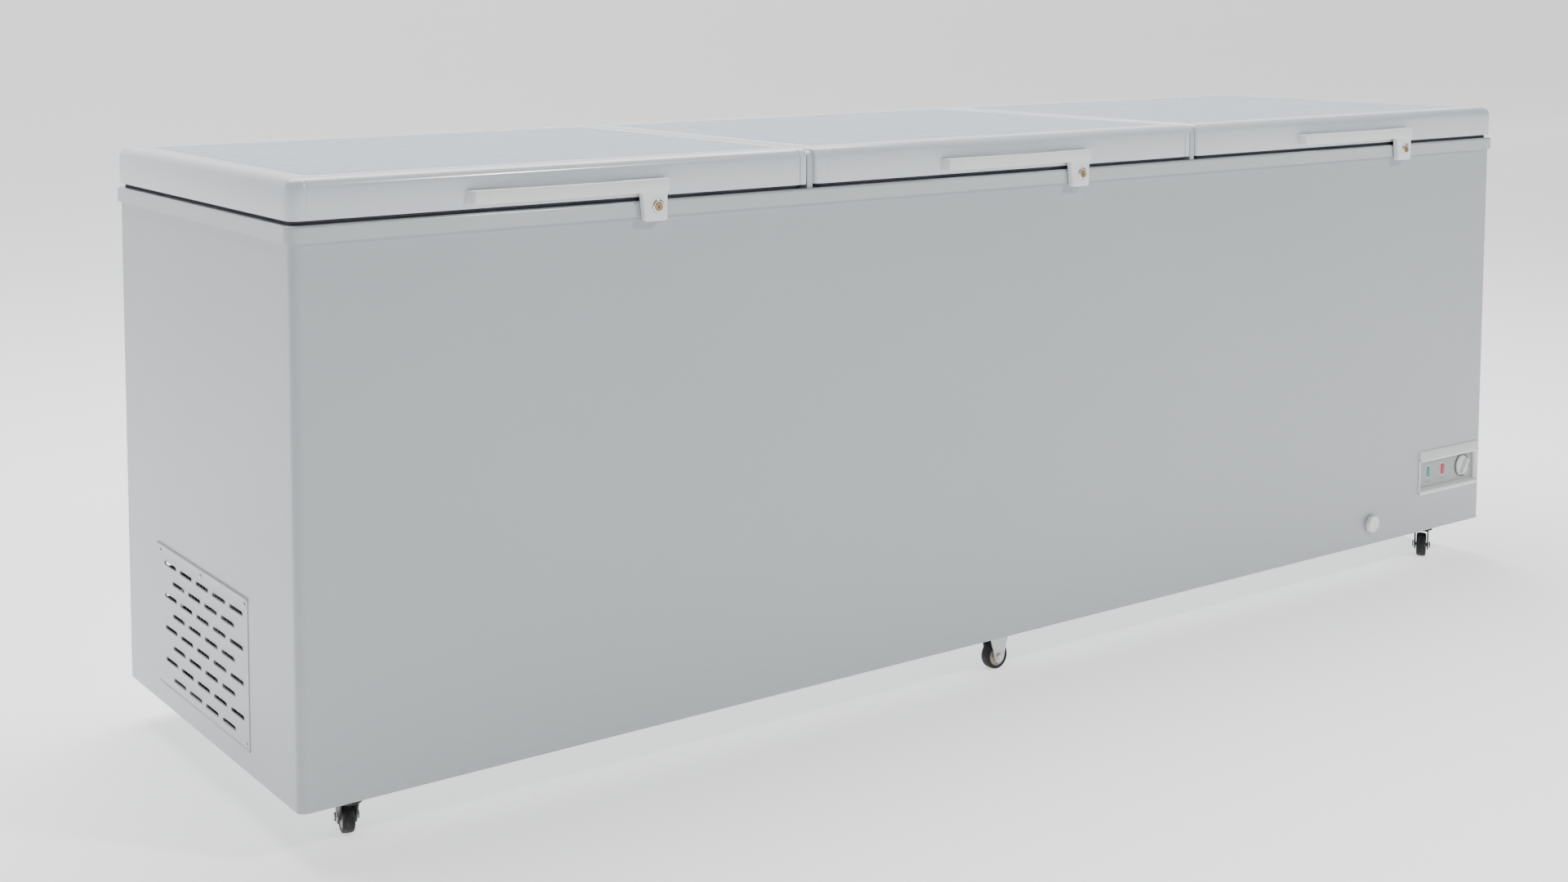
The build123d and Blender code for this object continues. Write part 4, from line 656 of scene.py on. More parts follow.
class CABINET_OT_lids(bpy.types.Operator):
    """Lid borders with their seams, top sheets, inner trays and seals."""

    bl_idname = "cabinet.lids"
    bl_label = "Lids"

    def execute(self, context):
        sizes = context.scene.cabinet_sizes
        for lid in LIDS:
            self.border(lid, sizes)
            self.sheet(lid, sizes)
            self.tray(lid)
            self.seal(lid)
        return {"FINISHED"}

    def borders(self, lid, sizes):
        """Widths of the border at the front, right, back and left of a lid."""
        right = sizes.lid_border if lid == LIDS[-1] else sizes.joint_border
        left = sizes.lid_border if lid == LIDS[0] else sizes.joint_border
        return sizes.lid_border, right, sizes.lid_border, left

    def border(self, lid, sizes):
        low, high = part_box(f"lid_{lid}_cover")
        sides = []
        for width in self.borders(lid, sizes):
            edge = sizes.lid_round if width == sizes.lid_border else 0.4 * sizes.lid_round
            sides.append(border_profile(high.z, low.z, width, edge, sizes.sheet_drop))
        outer = 22 * MM
        inner = 7 * MM
        radius = (outer if lid == LIDS[0] else inner, outer if lid == LIDS[-1] else inner)
        seams = (low.x + 1.6 * sizes.seam_inset, high.x - sizes.seam_inset)
        spread = np.array((-5.0, -3.0, -2.0, -1.3, -0.7, 0.0, 0.7, 1.3, 2.0, 3.0, 5.0)) * MM
        notes = np.concatenate([seam + spread for seam in seams])
        points = rounded_loops(sides, low, high, radius, notes)
        middle_y = (low.y + high.y) / 2
        half = (high.y - low.y) / 2
        outside_rows = slice(2, 15)
        points[outside_rows] = carve(points[outside_rows], seams, (0.5 * MM, 1.7 * MM),
                                     1.1 * MM, middle_y, half, sizes.lid_border)
        piece(f"lid_{lid}_border", surface(points, wrap_rows=True, wrap_cols=True),
              "lid_frame_plastic", f"lid_{lid}",
              (f"lid_{lid}_cover",), sharp=40.0)

    def sheet(self, lid, sizes):
        low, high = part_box(f"lid_{lid}_cover")
        top = high.z - sizes.sheet_drop
        gap = 0.5 * MM
        sides = []
        for width in self.borders(lid, sizes):
            rows = [(width + gap + 1.0 * MM, top - 2.2 * MM), (width + gap, top - 2.0 * MM),
                    (width + gap, top - 1.0 * MM), (width + gap + 0.3 * MM, top - 0.3 * MM),
                    (width + gap + 0.9 * MM, top), (width + gap + 12 * MM, top)]
            sides.append(np.array(rows).T)
        points = rounded_loops(sides, low, high, (50 * MM, 50 * MM))
        piece(f"lid_{lid}_top_sheet", surface(points, wrap_cols=True, caps=True),
              "lid_sheet_coat", f"lid_{lid}", sharp=50.0)

    def tray(self, lid):
        """Flange under the border, a plug that drops into the mouth and a raised panel."""
        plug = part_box(f"lid_{lid}_liner")[0].z
        lid_low, lid_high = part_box(f"lid_{lid}_cover")
        seat = lid_low.z + 0.4 * MM
        flange = 2.0 * MM
        shoulder, toe = 5 * MM, 6 * MM
        turn = arc(0, 90, 5)
        sides = []
        for inset in self.plug_insets(lid, lid_low, lid_high):
            rows = [(flange, seat), (flange + 3 * MM, seat), (inset - shoulder, seat)]
            rows += [(inset - shoulder + shoulder * math.sin(a),
                      seat - shoulder * (1 - math.cos(a))) for a in turn[1:]]
            rows += [(inset + toe * (1 - math.cos(a)), plug + toe * (1 - math.sin(a)))
                     for a in turn]
            rows += [(inset + across * MM, plug + up * MM)
                     for across, up in ((45, 0), (45.5, 0.2), (46.5, 0.8), (47, 0.9))]
            sides.append(np.array(rows).T)
        points = rounded_loops(sides, lid_low, lid_high, (20 * MM, 20 * MM))
        shape = surface(points[::-1], wrap_cols=True)
        faces = shape[1] + [list(range(points.shape[1]))]
        tray = piece(f"lid_{lid}_tray", (shape[0], faces), "tray_plastic",
                     f"lid_{lid}", (f"lid_{lid}_liner",))
        wall = tray.modifiers.new("wall", "SOLIDIFY")
        wall.thickness = 1.2 * MM
        wall.offset = 0.0

    def plug_insets(self, lid, lid_low, lid_high):
        """Distance from the lid's edge to the plug at the front, right, back and left.

        The plug keeps its room to the mouth, which the rim's ledge and the cross bars bound.
        """
        room = 15 * MM
        ledge = 80 * MM
        rim_low, rim_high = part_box("top_rim")
        edges = [rim_low.x + ledge, *self.bar_edges(), rim_high.x - ledge]
        left, right = edges[2 * lid - 2], edges[2 * lid - 1]
        return (rim_low.y + ledge + room - lid_low.y, lid_high.x - right + room,
                lid_high.y - rim_high.y + ledge + room, left + room - lid_low.x)

    def bar_edges(self):
        """X places of both sides of each cross bar, which sits under a slit between lids."""
        half_bar = 42 * MM
        edges = []
        for lid in LIDS[:-1]:
            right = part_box(f"lid_{lid}_cover")[1].x
            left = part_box(f"lid_{lid + 1}_cover")[0].x
            middle = (left + right) / 2
            edges += [middle - half_bar, middle + half_bar]
        return edges

    def seal(self, lid):
        """Magnetic seal: a flat foot, two bellows folds at each side and a dart on top."""
        low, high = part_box(f"lid_{lid}_gasket")
        folds = np.array(((1.2, 0.02), (0.2, 0.10), (0.0, 0.22), (1.3, 0.36), (0.2, 0.52),
                          (0.3, 0.68), (1.6, 0.82), (3.5, 0.90), (5.0, 1.0), (15.0, 1.0),
                          (16.5, 0.90), (18.4, 0.82), (19.7, 0.68), (19.8, 0.52),
                          (18.7, 0.36), (20.0, 0.22), (19.8, 0.10), (18.8, 0.02)))
        folds[:, 0] *= MM
        folds[:, 1] = low.z + folds[:, 1] * (high.z - low.z)
        points = rounded_loops(even_sides(folds), low, high, (14 * MM, 14 * MM))
        piece(f"lid_{lid}_seal", surface(points, wrap_rows=True, wrap_cols=True),
              "seal_rubber", f"lid_{lid}", (f"lid_{lid}_gasket",),
              sharp=60.0)


# ---------------------------------------------------------------- handles and locks
def section_ring(corner, steps=5):
    """Unit rounded square (v, w) in -1..1, its corners arcs of radius corner (v, w)."""
    ring = []
    for sign_v, sign_w, start in ((1, 1, 0), (-1, 1, 90), (-1, -1, 180), (1, -1, 270)):
        angle = arc(start, start + 90, steps)
        ring.append(np.stack((sign_v * (1 - corner[0]) + corner[0] * np.cos(angle),
                              sign_w * (1 - corner[1]) + corner[1] * np.sin(angle)), axis=1))
    return np.concatenate(ring)


class CABINET_OT_handles(bpy.types.Operator):
    """Bowed handles with their lock housings, and the lock barrels."""

    bl_idname = "cabinet.handles"
    bl_label = "Handles and locks"

    def execute(self, context):
        for lid in LIDS:
            self.grip(lid)
            self.barrel(lid)
        return {"FINISHED"}

    def grip(self, lid):
        low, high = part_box(f"lid_{lid}_handle")
        face_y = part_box(f"lid_{lid}_cover")[0].y
        left, right = low.x + 7 * MM, high.x
        middle, half = (left + right) / 2, (right - left) / 2
        bar_low = high.z - 20 * MM
        bar_depth = 15 * MM
        seam = left + 22 * MM
        ends = np.array((0.0, 0.35, 1.0, 2.0)) * MM
        x = np.unique(np.concatenate((
            left + ends, right - ends, np.linspace(left + 4 * MM, right - 4 * MM, 60),
            seam + np.array((-2, -1.2, -0.6, 0, 0.6, 1.2, 2)) * MM)))
        bow = 5.5 * MM * (1 - ((x - middle) / half) ** 2)
        front = face_y - bar_depth - bow
        grip_from, grip_to = left + 54 * MM, right - 82 * MM
        open_back = smooth(x, grip_from - 3 * MM, grip_from + 4 * MM)
        open_back = open_back * (1 - smooth(x, grip_to - 4 * MM, grip_to + 3 * MM))
        back = face_y * (1 - open_back) + (front + 8 * MM) * open_back
        edge = np.minimum(x - left, right - x) / (2 * MM)
        shrink = 1.4 * MM * (1 - quarter(edge)) + 0.6 * MM * bump(x, seam, 0.7 * MM)
        ring = section_ring((0.16, 0.13))
        depth = (back - front) / 2 - shrink * 0.5
        rise = (high.z - bar_low) / 2 - shrink
        y = ((front + back) / 2 + shrink * 0.5)[:, None] - depth[:, None] * ring[None, :, 0]
        z = (high.z + bar_low) / 2 + rise[:, None] * ring[None, :, 1]
        lean = 1 - smooth(x, left, left + 34 * MM)
        flare = -7 * MM * lean[:, None] * np.clip((y - face_y) / bar_depth + 1, 0, 1)
        points = np.stack((x[:, None] + flare, y, z), axis=-1)
        bar = surface(points, wrap_cols=True, caps=True)
        piece(f"lid_{lid}_grip", joined((bar, self.housing(lid, low, high))),
              "handle_plastic", f"lid_{lid}",
              (f"lid_{lid}_handle",), sharp=38.0)

    def housing(self, lid, low, high):
        """Lock housing: radius r(a) = (sum of (max(n.u, 0) / d)^p)^(-1/p) over its four sides."""
        barrel_low, barrel_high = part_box(f"lid_{lid}_lock")
        centre_x, centre_z = centre_of(barrel_low, barrel_high)
        angle = around(72)
        toward = np.stack((np.cos(angle), np.sin(angle)), axis=1)
        draft = math.radians(7)
        normals = np.array(((-math.cos(draft), -math.sin(draft)), (1, 0), (0, 1), (0, -1)))
        left_edge = high.x - 50 * MM
        sides = np.array((centre_x - left_edge - 1.5 * MM, high.x - 4 * MM - centre_x,
                          high.z - 6 * MM - centre_z, centre_z - low.z))
        sharpness = 11.0
        reach = (np.maximum(toward @ normals.T, 0) / sides) ** sharpness
        outline = reach.sum(axis=1) ** (-1 / sharpness)
        front = barrel_low.y + 1.7 * MM
        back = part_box("outer_shell")[0].y - 8 * MM
        hole = np.full_like(outline, 8.15 * MM)
        rows = ((outline, back), (outline, front + 2.0 * MM),
                (outline - 0.35 * MM, front + 0.9 * MM), (outline - 1.1 * MM, front + 0.2 * MM),
                (outline - 2.0 * MM, front), (hole + 3.2 * MM, front),
                (hole + 2.6 * MM, front + 0.5 * MM), (hole, front + 0.5 * MM), (hole, back))
        points = np.stack([front_ring(centre_x, y, centre_z, r * toward[:, 0], r * toward[:, 1])
                           for r, y in rows])
        return surface(points, wrap_rows=True, wrap_cols=True)

    def barrel(self, lid):
        """Turned flange, barrel and shaft with the flat tongue, and the brass key plug."""
        low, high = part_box(f"lid_{lid}_lock")
        x, z = centre_of(low, high)
        front, shaft_end = -low.y, 0.3 * MM - high.y
        steps = ((0.0, 1.6), (6.6, 1.6), (6.8, 0.7), (7.1, 0.15), (7.6, 0.0), (8.9, 0.05),
                 (9.7, 0.4), (10.0, 1.0), (10.0, 1.5), (8.0, 1.5), (8.0, 10.8), (7.4, 11.2),
                 (1.9, 11.2))
        profile = [(radius * MM, front - depth * MM) for radius, depth in steps]
        profile += [(1.9 * MM, shaft_end), (0.0, shaft_end)]
        turned_part = turned(profile, (x, 0, z), (0, -1, 0), 56)
        outline = section_ring((0.5, 0.25), 4)
        points = np.stack([front_ring(x, high.y - depth * MM, z, 2 * MM * k * outline[:, 0],
                                      7 * MM * (k * 0.1 + 0.9) * outline[:, 1])
                           for k, depth in ((0.85, 0.0), (1.0, 0.3), (1.0, 1.7), (0.85, 2.0))])
        tongue = surface(points, wrap_cols=True, caps=True)
        piece(f"lid_{lid}_barrel", joined((turned_part, tongue)), "lock_chrome",
              f"lock_{lid}", (f"lid_{lid}_lock",), sharp=40.0)
        angle = around(40)
        toward = np.stack((np.cos(angle), np.sin(angle)), axis=1)
        disc, keyway = 6.4 * MM * toward, (1.3 * MM, 3.8 * MM) * toward
        rows = []
        for share, depth in ((0, 1.55), (0, 0.75), (0.04, 0.5), (0.12, 0.4), (0.9, 0.4),
                             (1.0, 0.55), (1.0, 1.5)):
            ring = disc * (1 - share) + keyway * share
            rows.append(front_ring(x, low.y + depth * MM, z, ring[:, 0], ring[:, 1]))
        piece(f"lid_{lid}_key_plug", surface(np.stack(rows), wrap_cols=True, caps=True),
              "key_brass", f"lock_{lid}", sharp=40.0)


# ---------------------------------------------------------------- vent grille
class CABINET_OT_grille(bpy.types.Operator):
    """Pressed vent grille with lipped slots, and its screws."""

    bl_idname = "cabinet.grille"
    bl_label = "Vent grille"

    rows = 8
    slot_half = (25.5 * MM, 3.25 * MM)
    pitch = (67 * MM, 26.3 * MM)
    shift = (6 * MM, -4 * MM)
    sheet = 1.2 * MM

    def execute(self, context):
        low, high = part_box("vent_grille")
        self.centre = ((low.y + high.y) / 2, (low.z + high.z) / 2)
        self.half = ((high.y - low.y) / 2, (high.z - low.z) / 2)
        self.face = high.x
        lip = context.scene.cabinet_sizes.slot_lip
        cells = [self.cell(along, up, lip) for along, up in self.slots()]
        sheet = joined(cells + self.margins())
        piece("grille_sheet", sheet, "body_coat", "root",
              ("vent_grille",), sharp=50.0)
        self.screws()
        return {"FINISHED"}

    def slots(self):
        """Middles of the slots, towards the front and up from the grille's middle."""
        first = (self.rows - 1) * self.pitch[1] / 2 + self.shift[1]
        for row in range(self.rows):
            count = 5 - row % 2
            for index in range(count):
                yield (self.shift[0] + (index - (count - 1) / 2) * self.pitch[0],
                       first - row * self.pitch[1])

    def placed(self, along, up, out):
        """Points of the grille's plane in the cabinet's frame, out from the wall."""
        return np.stack((self.face - out, self.centre[0] - along, self.centre[1] + up), axis=-1)

    def cell(self, along, up, lip):
        """Patch from a slot to its cell: P = (1 - v) slot(u) + v cell(u), rolled in at the slot."""
        steps = 13
        flat = self.slot_half[0] - self.slot_half[1]
        right = arc(-90, 90, steps)
        left = arc(90, 270, steps)
        slot_x = np.concatenate((flat + self.slot_half[1] * np.cos(right),
                                 -flat + self.slot_half[1] * np.cos(left)))
        slot_y = np.concatenate((self.slot_half[1] * np.sin(right),
                                 self.slot_half[1] * np.sin(left)))
        half = (self.pitch[0] / 2, self.pitch[1] / 2)
        far = 0.5 * (steps - 1)
        step = np.arange(steps) - far
        edge_y = np.clip(step / 3.0, -1, 1) * half[1]
        edge_x = half[0] - np.clip(np.abs(step) - 3, 0, None) / (far - 3) * half[0]
        cell_x = np.concatenate((edge_x, -edge_x))
        cell_y = np.concatenate((edge_y, -edge_y))
        roll = ((-0.02, lip), (-0.02, 0.9 * MM), (0.0, 0.3 * MM), (0.02, 0.0), (0.07, -0.45 * MM),
                (0.16, -0.5 * MM), (0.26, -0.15 * MM), (0.36, 0.0), (1.0, 0.0))
        rows = []
        for share, sink in roll:
            x = slot_x * (1 - share) + cell_x * share
            y = slot_y * (1 - share) + cell_y * share
            rows.append(self.placed(along + x, up + y, np.full_like(x, self.sheet - sink)))
        return surface(np.stack(rows), wrap_cols=True)

    def margins(self):
        """Plain stretches round the slots, the folded upper edge and the lower bead."""
        half_x, half_y = self.half
        first = (self.rows - 1) * self.pitch[1] / 2 + self.shift[1]
        top = first + self.pitch[1] / 2
        bottom = top - self.rows * self.pitch[1]
        wide = 2.5 * self.pitch[0]
        strips = []
        for start, end, low, high in (
                (-half_x, self.shift[0] - wide, bottom, top),
                (self.shift[0] + wide, half_x, bottom, top)):
            strips.append(self.strip((start, end), np.linspace(low, high, 9), self.sheet))
        for row in range(1, self.rows, 2):
            high = top - row * self.pitch[1]
            for side in (-1, 1):
                start = self.shift[0] + side * wide
                end = self.shift[0] + side * (wide - self.pitch[0] / 2)
                strips.append(self.strip((min(start, end), max(start, end)),
                                         np.array((high - self.pitch[1], high)), self.sheet))
        upper = np.array((top, half_y - 5 * MM, half_y - 3.6 * MM, half_y - 3 * MM,
                          half_y - 2.2 * MM, half_y - 1.0 * MM, half_y - 0.2 * MM, half_y))
        upper_out = np.array((1.2, 1.2, 1.6, 2.9, 3.5, 3.5, 2.8, 0.0)) * MM
        lower = np.array((-half_y, -half_y + 0.2 * MM, -half_y + 1.0 * MM, -half_y + 2.0 * MM,
                          -half_y + 2.8 * MM, -half_y + 3.8 * MM, bottom))
        lower_out = np.array((0.0, 2.0, 2.6, 2.5, 1.6, 1.2, 1.2)) * MM
        strips.append(self.strip((-half_x, half_x), upper, upper_out))
        strips.append(self.strip((-half_x, half_x), lower, lower_out))
        return strips

    def strip(self, span, up, out):
        """Strip along the grille with one section (up, out); it closes at the grille's ends."""
        along = np.array((span[0], span[0] + 0.3 * MM, span[1] - 0.3 * MM, span[1]))
        up, out = np.broadcast_arrays(up, out)
        ends = np.ones(4)
        if span[0] <= -self.half[0] + 1e-6:
            ends[0] = 0.0
        if span[1] >= self.half[0] - 1e-6:
            ends[-1] = 0.0
        grid_along = along[:, None] + 0 * up[None, :]
        grid_up = up[None, :] + 0 * along[:, None]
        grid_out = ends[:, None] * out[None, :]
        return surface(self.placed(grid_along, grid_up, grid_out))

    def screws(self):
        """Pan heads: height 1.9 (1 - (r / 4.25)^2)^(1/2) mm, less a cross recess, on a shaft."""
        spread = 12 * MM
        places = [(self.half[0] - spread, self.half[1] - spread), (0, self.half[1] - spread),
                  (-self.half[0] + spread, self.half[1] - spread),
                  (self.half[0] - spread, 8 * MM - self.half[1])]
        radius = np.array((0.0, 0.5, 1.0, 1.5, 2.0, 2.3, 2.6, 3.0, 3.5, 3.9, 4.15, 4.2, 4.2)) * MM
        dome = 1.9 * MM * np.sqrt(np.clip(1 - (radius / (4.25 * MM)) ** 2, 0, 1))
        dome[-1] = 0.0
        shaft = np.array(((0.0, 0.1), (2.0, 0.1), (2.0, -9.5), (1.2, -10.2), (0.0, -10.2))) * MM

        def recess(r, angle):
            turn = angle + 0.4
            across = np.minimum(np.abs(r * np.cos(turn)), np.abs(r * np.sin(turn)))
            inside = 1 - smooth(r, 1.9 * MM, 2.4 * MM)
            return -1.1 * MM * inside * (1 - smooth(across, 0.25 * MM, 0.55 * MM))

        heads = []
        for along, up in places:
            origin = self.placed(np.array(along), np.array(up), np.array(1.25 * MM))
            heads.append(turned(np.stack((radius, dome), axis=1), origin, (-1, 0, 0), 48, recess))
            heads.append(turned(shaft, origin, (-1, 0, 0), 16))
        piece("grille_screw_heads", joined(heads), "bolt_zinc", "root",
              ("grille_screws",), sharp=50.0)


# ---------------------------------------------------------------- control panel
class CABINET_OT_panel(bpy.types.Operator):
    """Panel housing, its face and marks, lamps, dial ring and knob, and the drain cap."""

    bl_idname = "cabinet.panel"
    bl_label = "Control panel and drain"

    def execute(self, context):
        self.low, self.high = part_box("control_bezel")
        self.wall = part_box("outer_shell")[0].y
        self.face_y = self.wall + 6 * MM
        self.housing()
        self.face()
        self.lamp("lamp_green", "green_lens")
        self.lamp("lamp_red", "red_lens")
        self.dial()
        self.drain()
        return {"FINISHED"}

    def housing(self):
        """Section of lip, face and hood carried along X.

        Lip and hood stand out less at the ends, where cheeks close the recess.
        """
        low, high = self.low, self.high
        section = np.array((
            (0.0, 0.0), (-4.2, 0.2), (-5.6, 1.6), (-6.0, 3.6), (-5.7, 6.4), (-4.6, 8.4),
            (-2.4, 9.6), (6.0, 10.4), (6.0, 72.0), (3.0, 72.6), (-7.2, 72.4), (-8.4, 72.8),
            (-8.9, 74.2), (-8.6, 76.2), (-3.2, 91.4), (-2.0, 93.2), (-0.6, 94.0), (0.0, 94.0),
            (0.0, 88.0), (8.0, 88.0), (8.0, 6.0), (0.0, 6.0))) * MM
        y, z = section[:, 0], section[:, 1]
        length = high.x - low.x
        ends = np.array((0, 0.4, 1.2, 2.4, 2.98, 3.0, 6.38, 6.4)) * MM
        notch = 0.735 * length
        spread = np.array((-3, -2, -1.2, -0.6, 0, 0.6, 1.2, 2, 3)) * MM
        t = np.unique(np.concatenate((ends, np.linspace(10 * MM, length - 10 * MM, 22),
                                      length - ends, notch + spread)))
        end = np.minimum(t, length - t)
        swell = 0.45 + 0.55 * quarter(end / (3.0 * MM))
        outward = np.where(y < 0, y, 0.0)
        lip = z < 10 * MM
        groove = 1 - 0.30 * bump(t, notch, 1.6 * MM)
        strength = swell[:, None] * np.where(lip[None, :], groove[:, None], 1.0)
        beside = (end < 6.39 * MM)[:, None]
        cheek = np.where(end < 2.99 * MM, -2.5 * MM, -0.2 * MM)[:, None]
        face = np.isclose(y, 6 * MM)[None, :]
        inside = np.where(beside, np.where(face, cheek, 0.0), np.maximum(y, 0.0)[None, :])
        py = self.wall + outward[None, :] * strength + inside
        pz = low.z + z[None, :] + 0 * t[:, None]
        px = low.x + t[:, None] + 0 * z[None, :]
        points = np.stack((px, py, pz), axis=-1)
        piece("panel_housing", surface(points, wrap_cols=True, caps=True),
              "panel_plastic", "root", ("control_bezel",), sharp=32.0)

    def plate(self, x, z, half, corner, depth):
        """Rounded rectangle on the face, whose edge rolls over by a quarter turn."""
        ring = section_ring((corner / half[0], corner / half[1]), 6)
        roll = 0.35 * depth
        layers = [(0.0, 0.0), (0.0, depth - roll)]
        layers += [(roll * (1 - math.cos(a)), depth - roll + roll * math.sin(a))
                   for a in arc(20, 90, 4)]
        layers += [(0.35 * min(half), depth), (0.7 * min(half), depth)]
        points = np.stack([front_ring(x, self.face_y - height, z, (half[0] - inset) * ring[:, 0],
                                      (half[1] - inset) * ring[:, 1]) for inset, height in layers])
        return surface(points, wrap_cols=True, caps=True)

    def face(self):
        """Face plate in the white panel plastic, painted grey as the shade of its recess under the
        hood, and plain marks below the lamps and round the dial.
        """
        low, high = self.low, self.high
        plate = self.plate((low.x + high.x) / 2, low.z + 41.5 * MM, (95.2 * MM, 29.5 * MM),
                           2.5 * MM, 0.5 * MM)
        piece("panel_face", plate, "panel_face_painted_shade", "root", sharp=40.0)
        marks = []
        for name in ("lamp_green", "lamp_red"):
            lamp_low, lamp_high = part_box(name)
            x = (lamp_low.x + lamp_high.x) / 2
            for index in range(4):
                marks.append(self.mark(x + (index - 1.5) * 3.6 * MM, lamp_low.z - 8 * MM,
                                       (1.25 * MM, 0.8 * MM), 0.0))
        x, z = centre_of(*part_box("thermostat_knob"))
        scale = 27.6 * MM
        for turn in np.radians(np.arange(-120, 121, 40)):
            marks.append(self.mark(x + scale * math.sin(turn), z + scale * math.cos(turn),
                                   (0.45 * MM, 1.3 * MM), turn))
        piece("panel_marks", joined(marks), "mark_ink", "root")

    def mark(self, x, z, half, turn):
        """Printed bar: a rounded rectangle 0.15 mm proud of the face plate, turned clockwise."""
        ring = section_ring((0.5, 0.5), 3) * np.array(half)
        rx = ring[:, 0] * math.cos(turn) + ring[:, 1] * math.sin(turn)
        rz = -ring[:, 0] * math.sin(turn) + ring[:, 1] * math.cos(turn)
        rows = [front_ring(x, self.face_y - out, z, rx, rz) for out in (0.4 * MM, 0.65 * MM)]
        return surface(np.stack(rows), wrap_cols=True, caps=True)

    def lamp(self, node, finish):
        """Lens with clipped ends, domed in the middle, in a thin raised surround."""
        low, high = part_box(node)
        x, z = centre_of(low, high)
        half = ((high.x - low.x) / 2 - 1.2 * MM, (high.z - low.z) / 2 - 1.2 * MM)
        clip = 3.6 * MM
        corners = np.array(((half[0], half[1] - clip), (half[0] - clip, half[1]),
                            (-half[0] + clip, half[1]), (-half[0], half[1] - clip),
                            (-half[0], -half[1] + clip), (-half[0] + clip, -half[1]),
                            (half[0] - clip, -half[1]), (half[0], -half[1] + clip)))
        share = np.linspace(0.04, 0.96, 5)[None, :, None]
        outline = (corners[:, None] * (1 - share) + np.roll(corners, -1, 0)[:, None] * share)
        outline = outline.reshape(-1, 2)

        def layer(scale, grow, out):
            size = outline * scale + np.sign(outline) * grow * MM
            return front_ring(x, self.face_y - out * MM, z, size[:, 0], size[:, 1])

        lens_rows = np.stack([layer(scale, 0, out) for scale, out in (
            (1.0, -16), (1.0, 2.6), (0.97, 3.1), (0.86, 3.6), (0.5, 3.95), (0.2, 4.0))])
        piece(node + "_lens", surface(lens_rows, wrap_cols=True, caps=True), finish,
              "root", (node,), sharp=30.0)
        rim = np.stack([layer(1.0, grow, out) for grow, out in (
            (1.6, 0.3), (1.6, 1.4), (1.2, 1.8), (0.5, 1.8), (0.1, 1.4), (0.1, 0.3))])
        piece(node + "_surround", surface(rim, wrap_rows=True, wrap_cols=True),
              "panel_plastic", "root", sharp=40.0)

    def dial(self):
        """Open ring on the face, and a knob: a skirt with a ridge along one diameter."""
        low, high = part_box("thermostat_knob")
        x, z = centre_of(low, high)
        span = arc(-28, 290, 60)
        section = section_ring((0.6, 0.6), 4) * np.array((1.1, 1.0)) * MM
        end = np.minimum(span - span[0], span[-1] - span) / 0.05
        taper = np.maximum(quarter(end), math.sqrt(0.05))[:, None]
        radius = 24.0 * MM + section[None, :, 0] * taper
        ring = np.stack((x + radius * np.cos(span)[:, None],
                         self.face_y - 1.2 * MM - section[None, :, 1] * taper,
                         z + radius * np.sin(span)[:, None]), axis=-1)
        piece("dial_ring", surface(ring, wrap_cols=True, caps=True), "dial_ring_plastic",
              "root", sharp=50.0)
        base = -low.y - 11 * MM
        profile = np.array(((0.0, 3.6), (12, 3.6), (17, 3.3), (19.4, 2.6), (20.6, 1.4), (20.9, 0),
                            (20.9, -0.8), (3.0, -0.8), (3.0, -13), (0.0, -13))) * MM + (0, base)

        def knurl(r, angle):
            return 0.25 * MM * np.cos(36 * angle) * smooth(r, 18.5 * MM, 20 * MM) * (r < 20.8 * MM)

        skirt = turned(profile, (x, 0, z), (0, -1, 0), 144, knurl)
        tilt = math.radians(55)
        outline = section_ring((0.22, 0.8), 8)
        rows = []
        for long, wide, rise in ((1.0, 1.0, 3.0), (0.99, 0.94, 7), (0.97, 0.84, 10),
                                 (0.94, 0.66, 10.65), (0.88, 0.40, 11)):
            u = 18.6 * MM * long * outline[:, 0]
            v = 4.6 * MM * wide * outline[:, 1]
            rows.append(front_ring(x, -base - rise * MM, z,
                                   u * math.cos(tilt) - v * math.sin(tilt),
                                   u * math.sin(tilt) + v * math.cos(tilt)))
        ridge = surface(np.stack(rows), wrap_cols=True, caps=True)
        piece("dial_knob", joined((skirt, ridge)), "knob_plastic", "knob",
              ("thermostat_knob",), sharp=40.0)

    def drain(self):
        """Turned cap: a dished middle, a rounded rim and a plain skirt that is open behind."""
        low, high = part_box("drain_cap")
        x, z = centre_of(low, high)
        front, back = -low.y, -high.y
        steps = ((0.0, 1.4), (6, 1.35), (11.0, 1.2), (12.2, 0.9), (12.9, 0.2), (13.8, 0.0),
                 (15.2, 0.15), (16.5, 0.8), (17.2, 1.9), (17.4, 3.2))
        profile = [(radius * MM, front - depth * MM) for radius, depth in steps]
        profile += [(17.45 * MM, back), (11.4 * MM, back), (11.4 * MM, back + 6.2 * MM),
                    (0.0, back + 6.2 * MM)]
        piece("drain_cap_cover", turned(profile, (x, 0, z), (0, -1, 0), 72),
              "drain_plastic", "cap", ("drain_cap",), sharp=42.0)


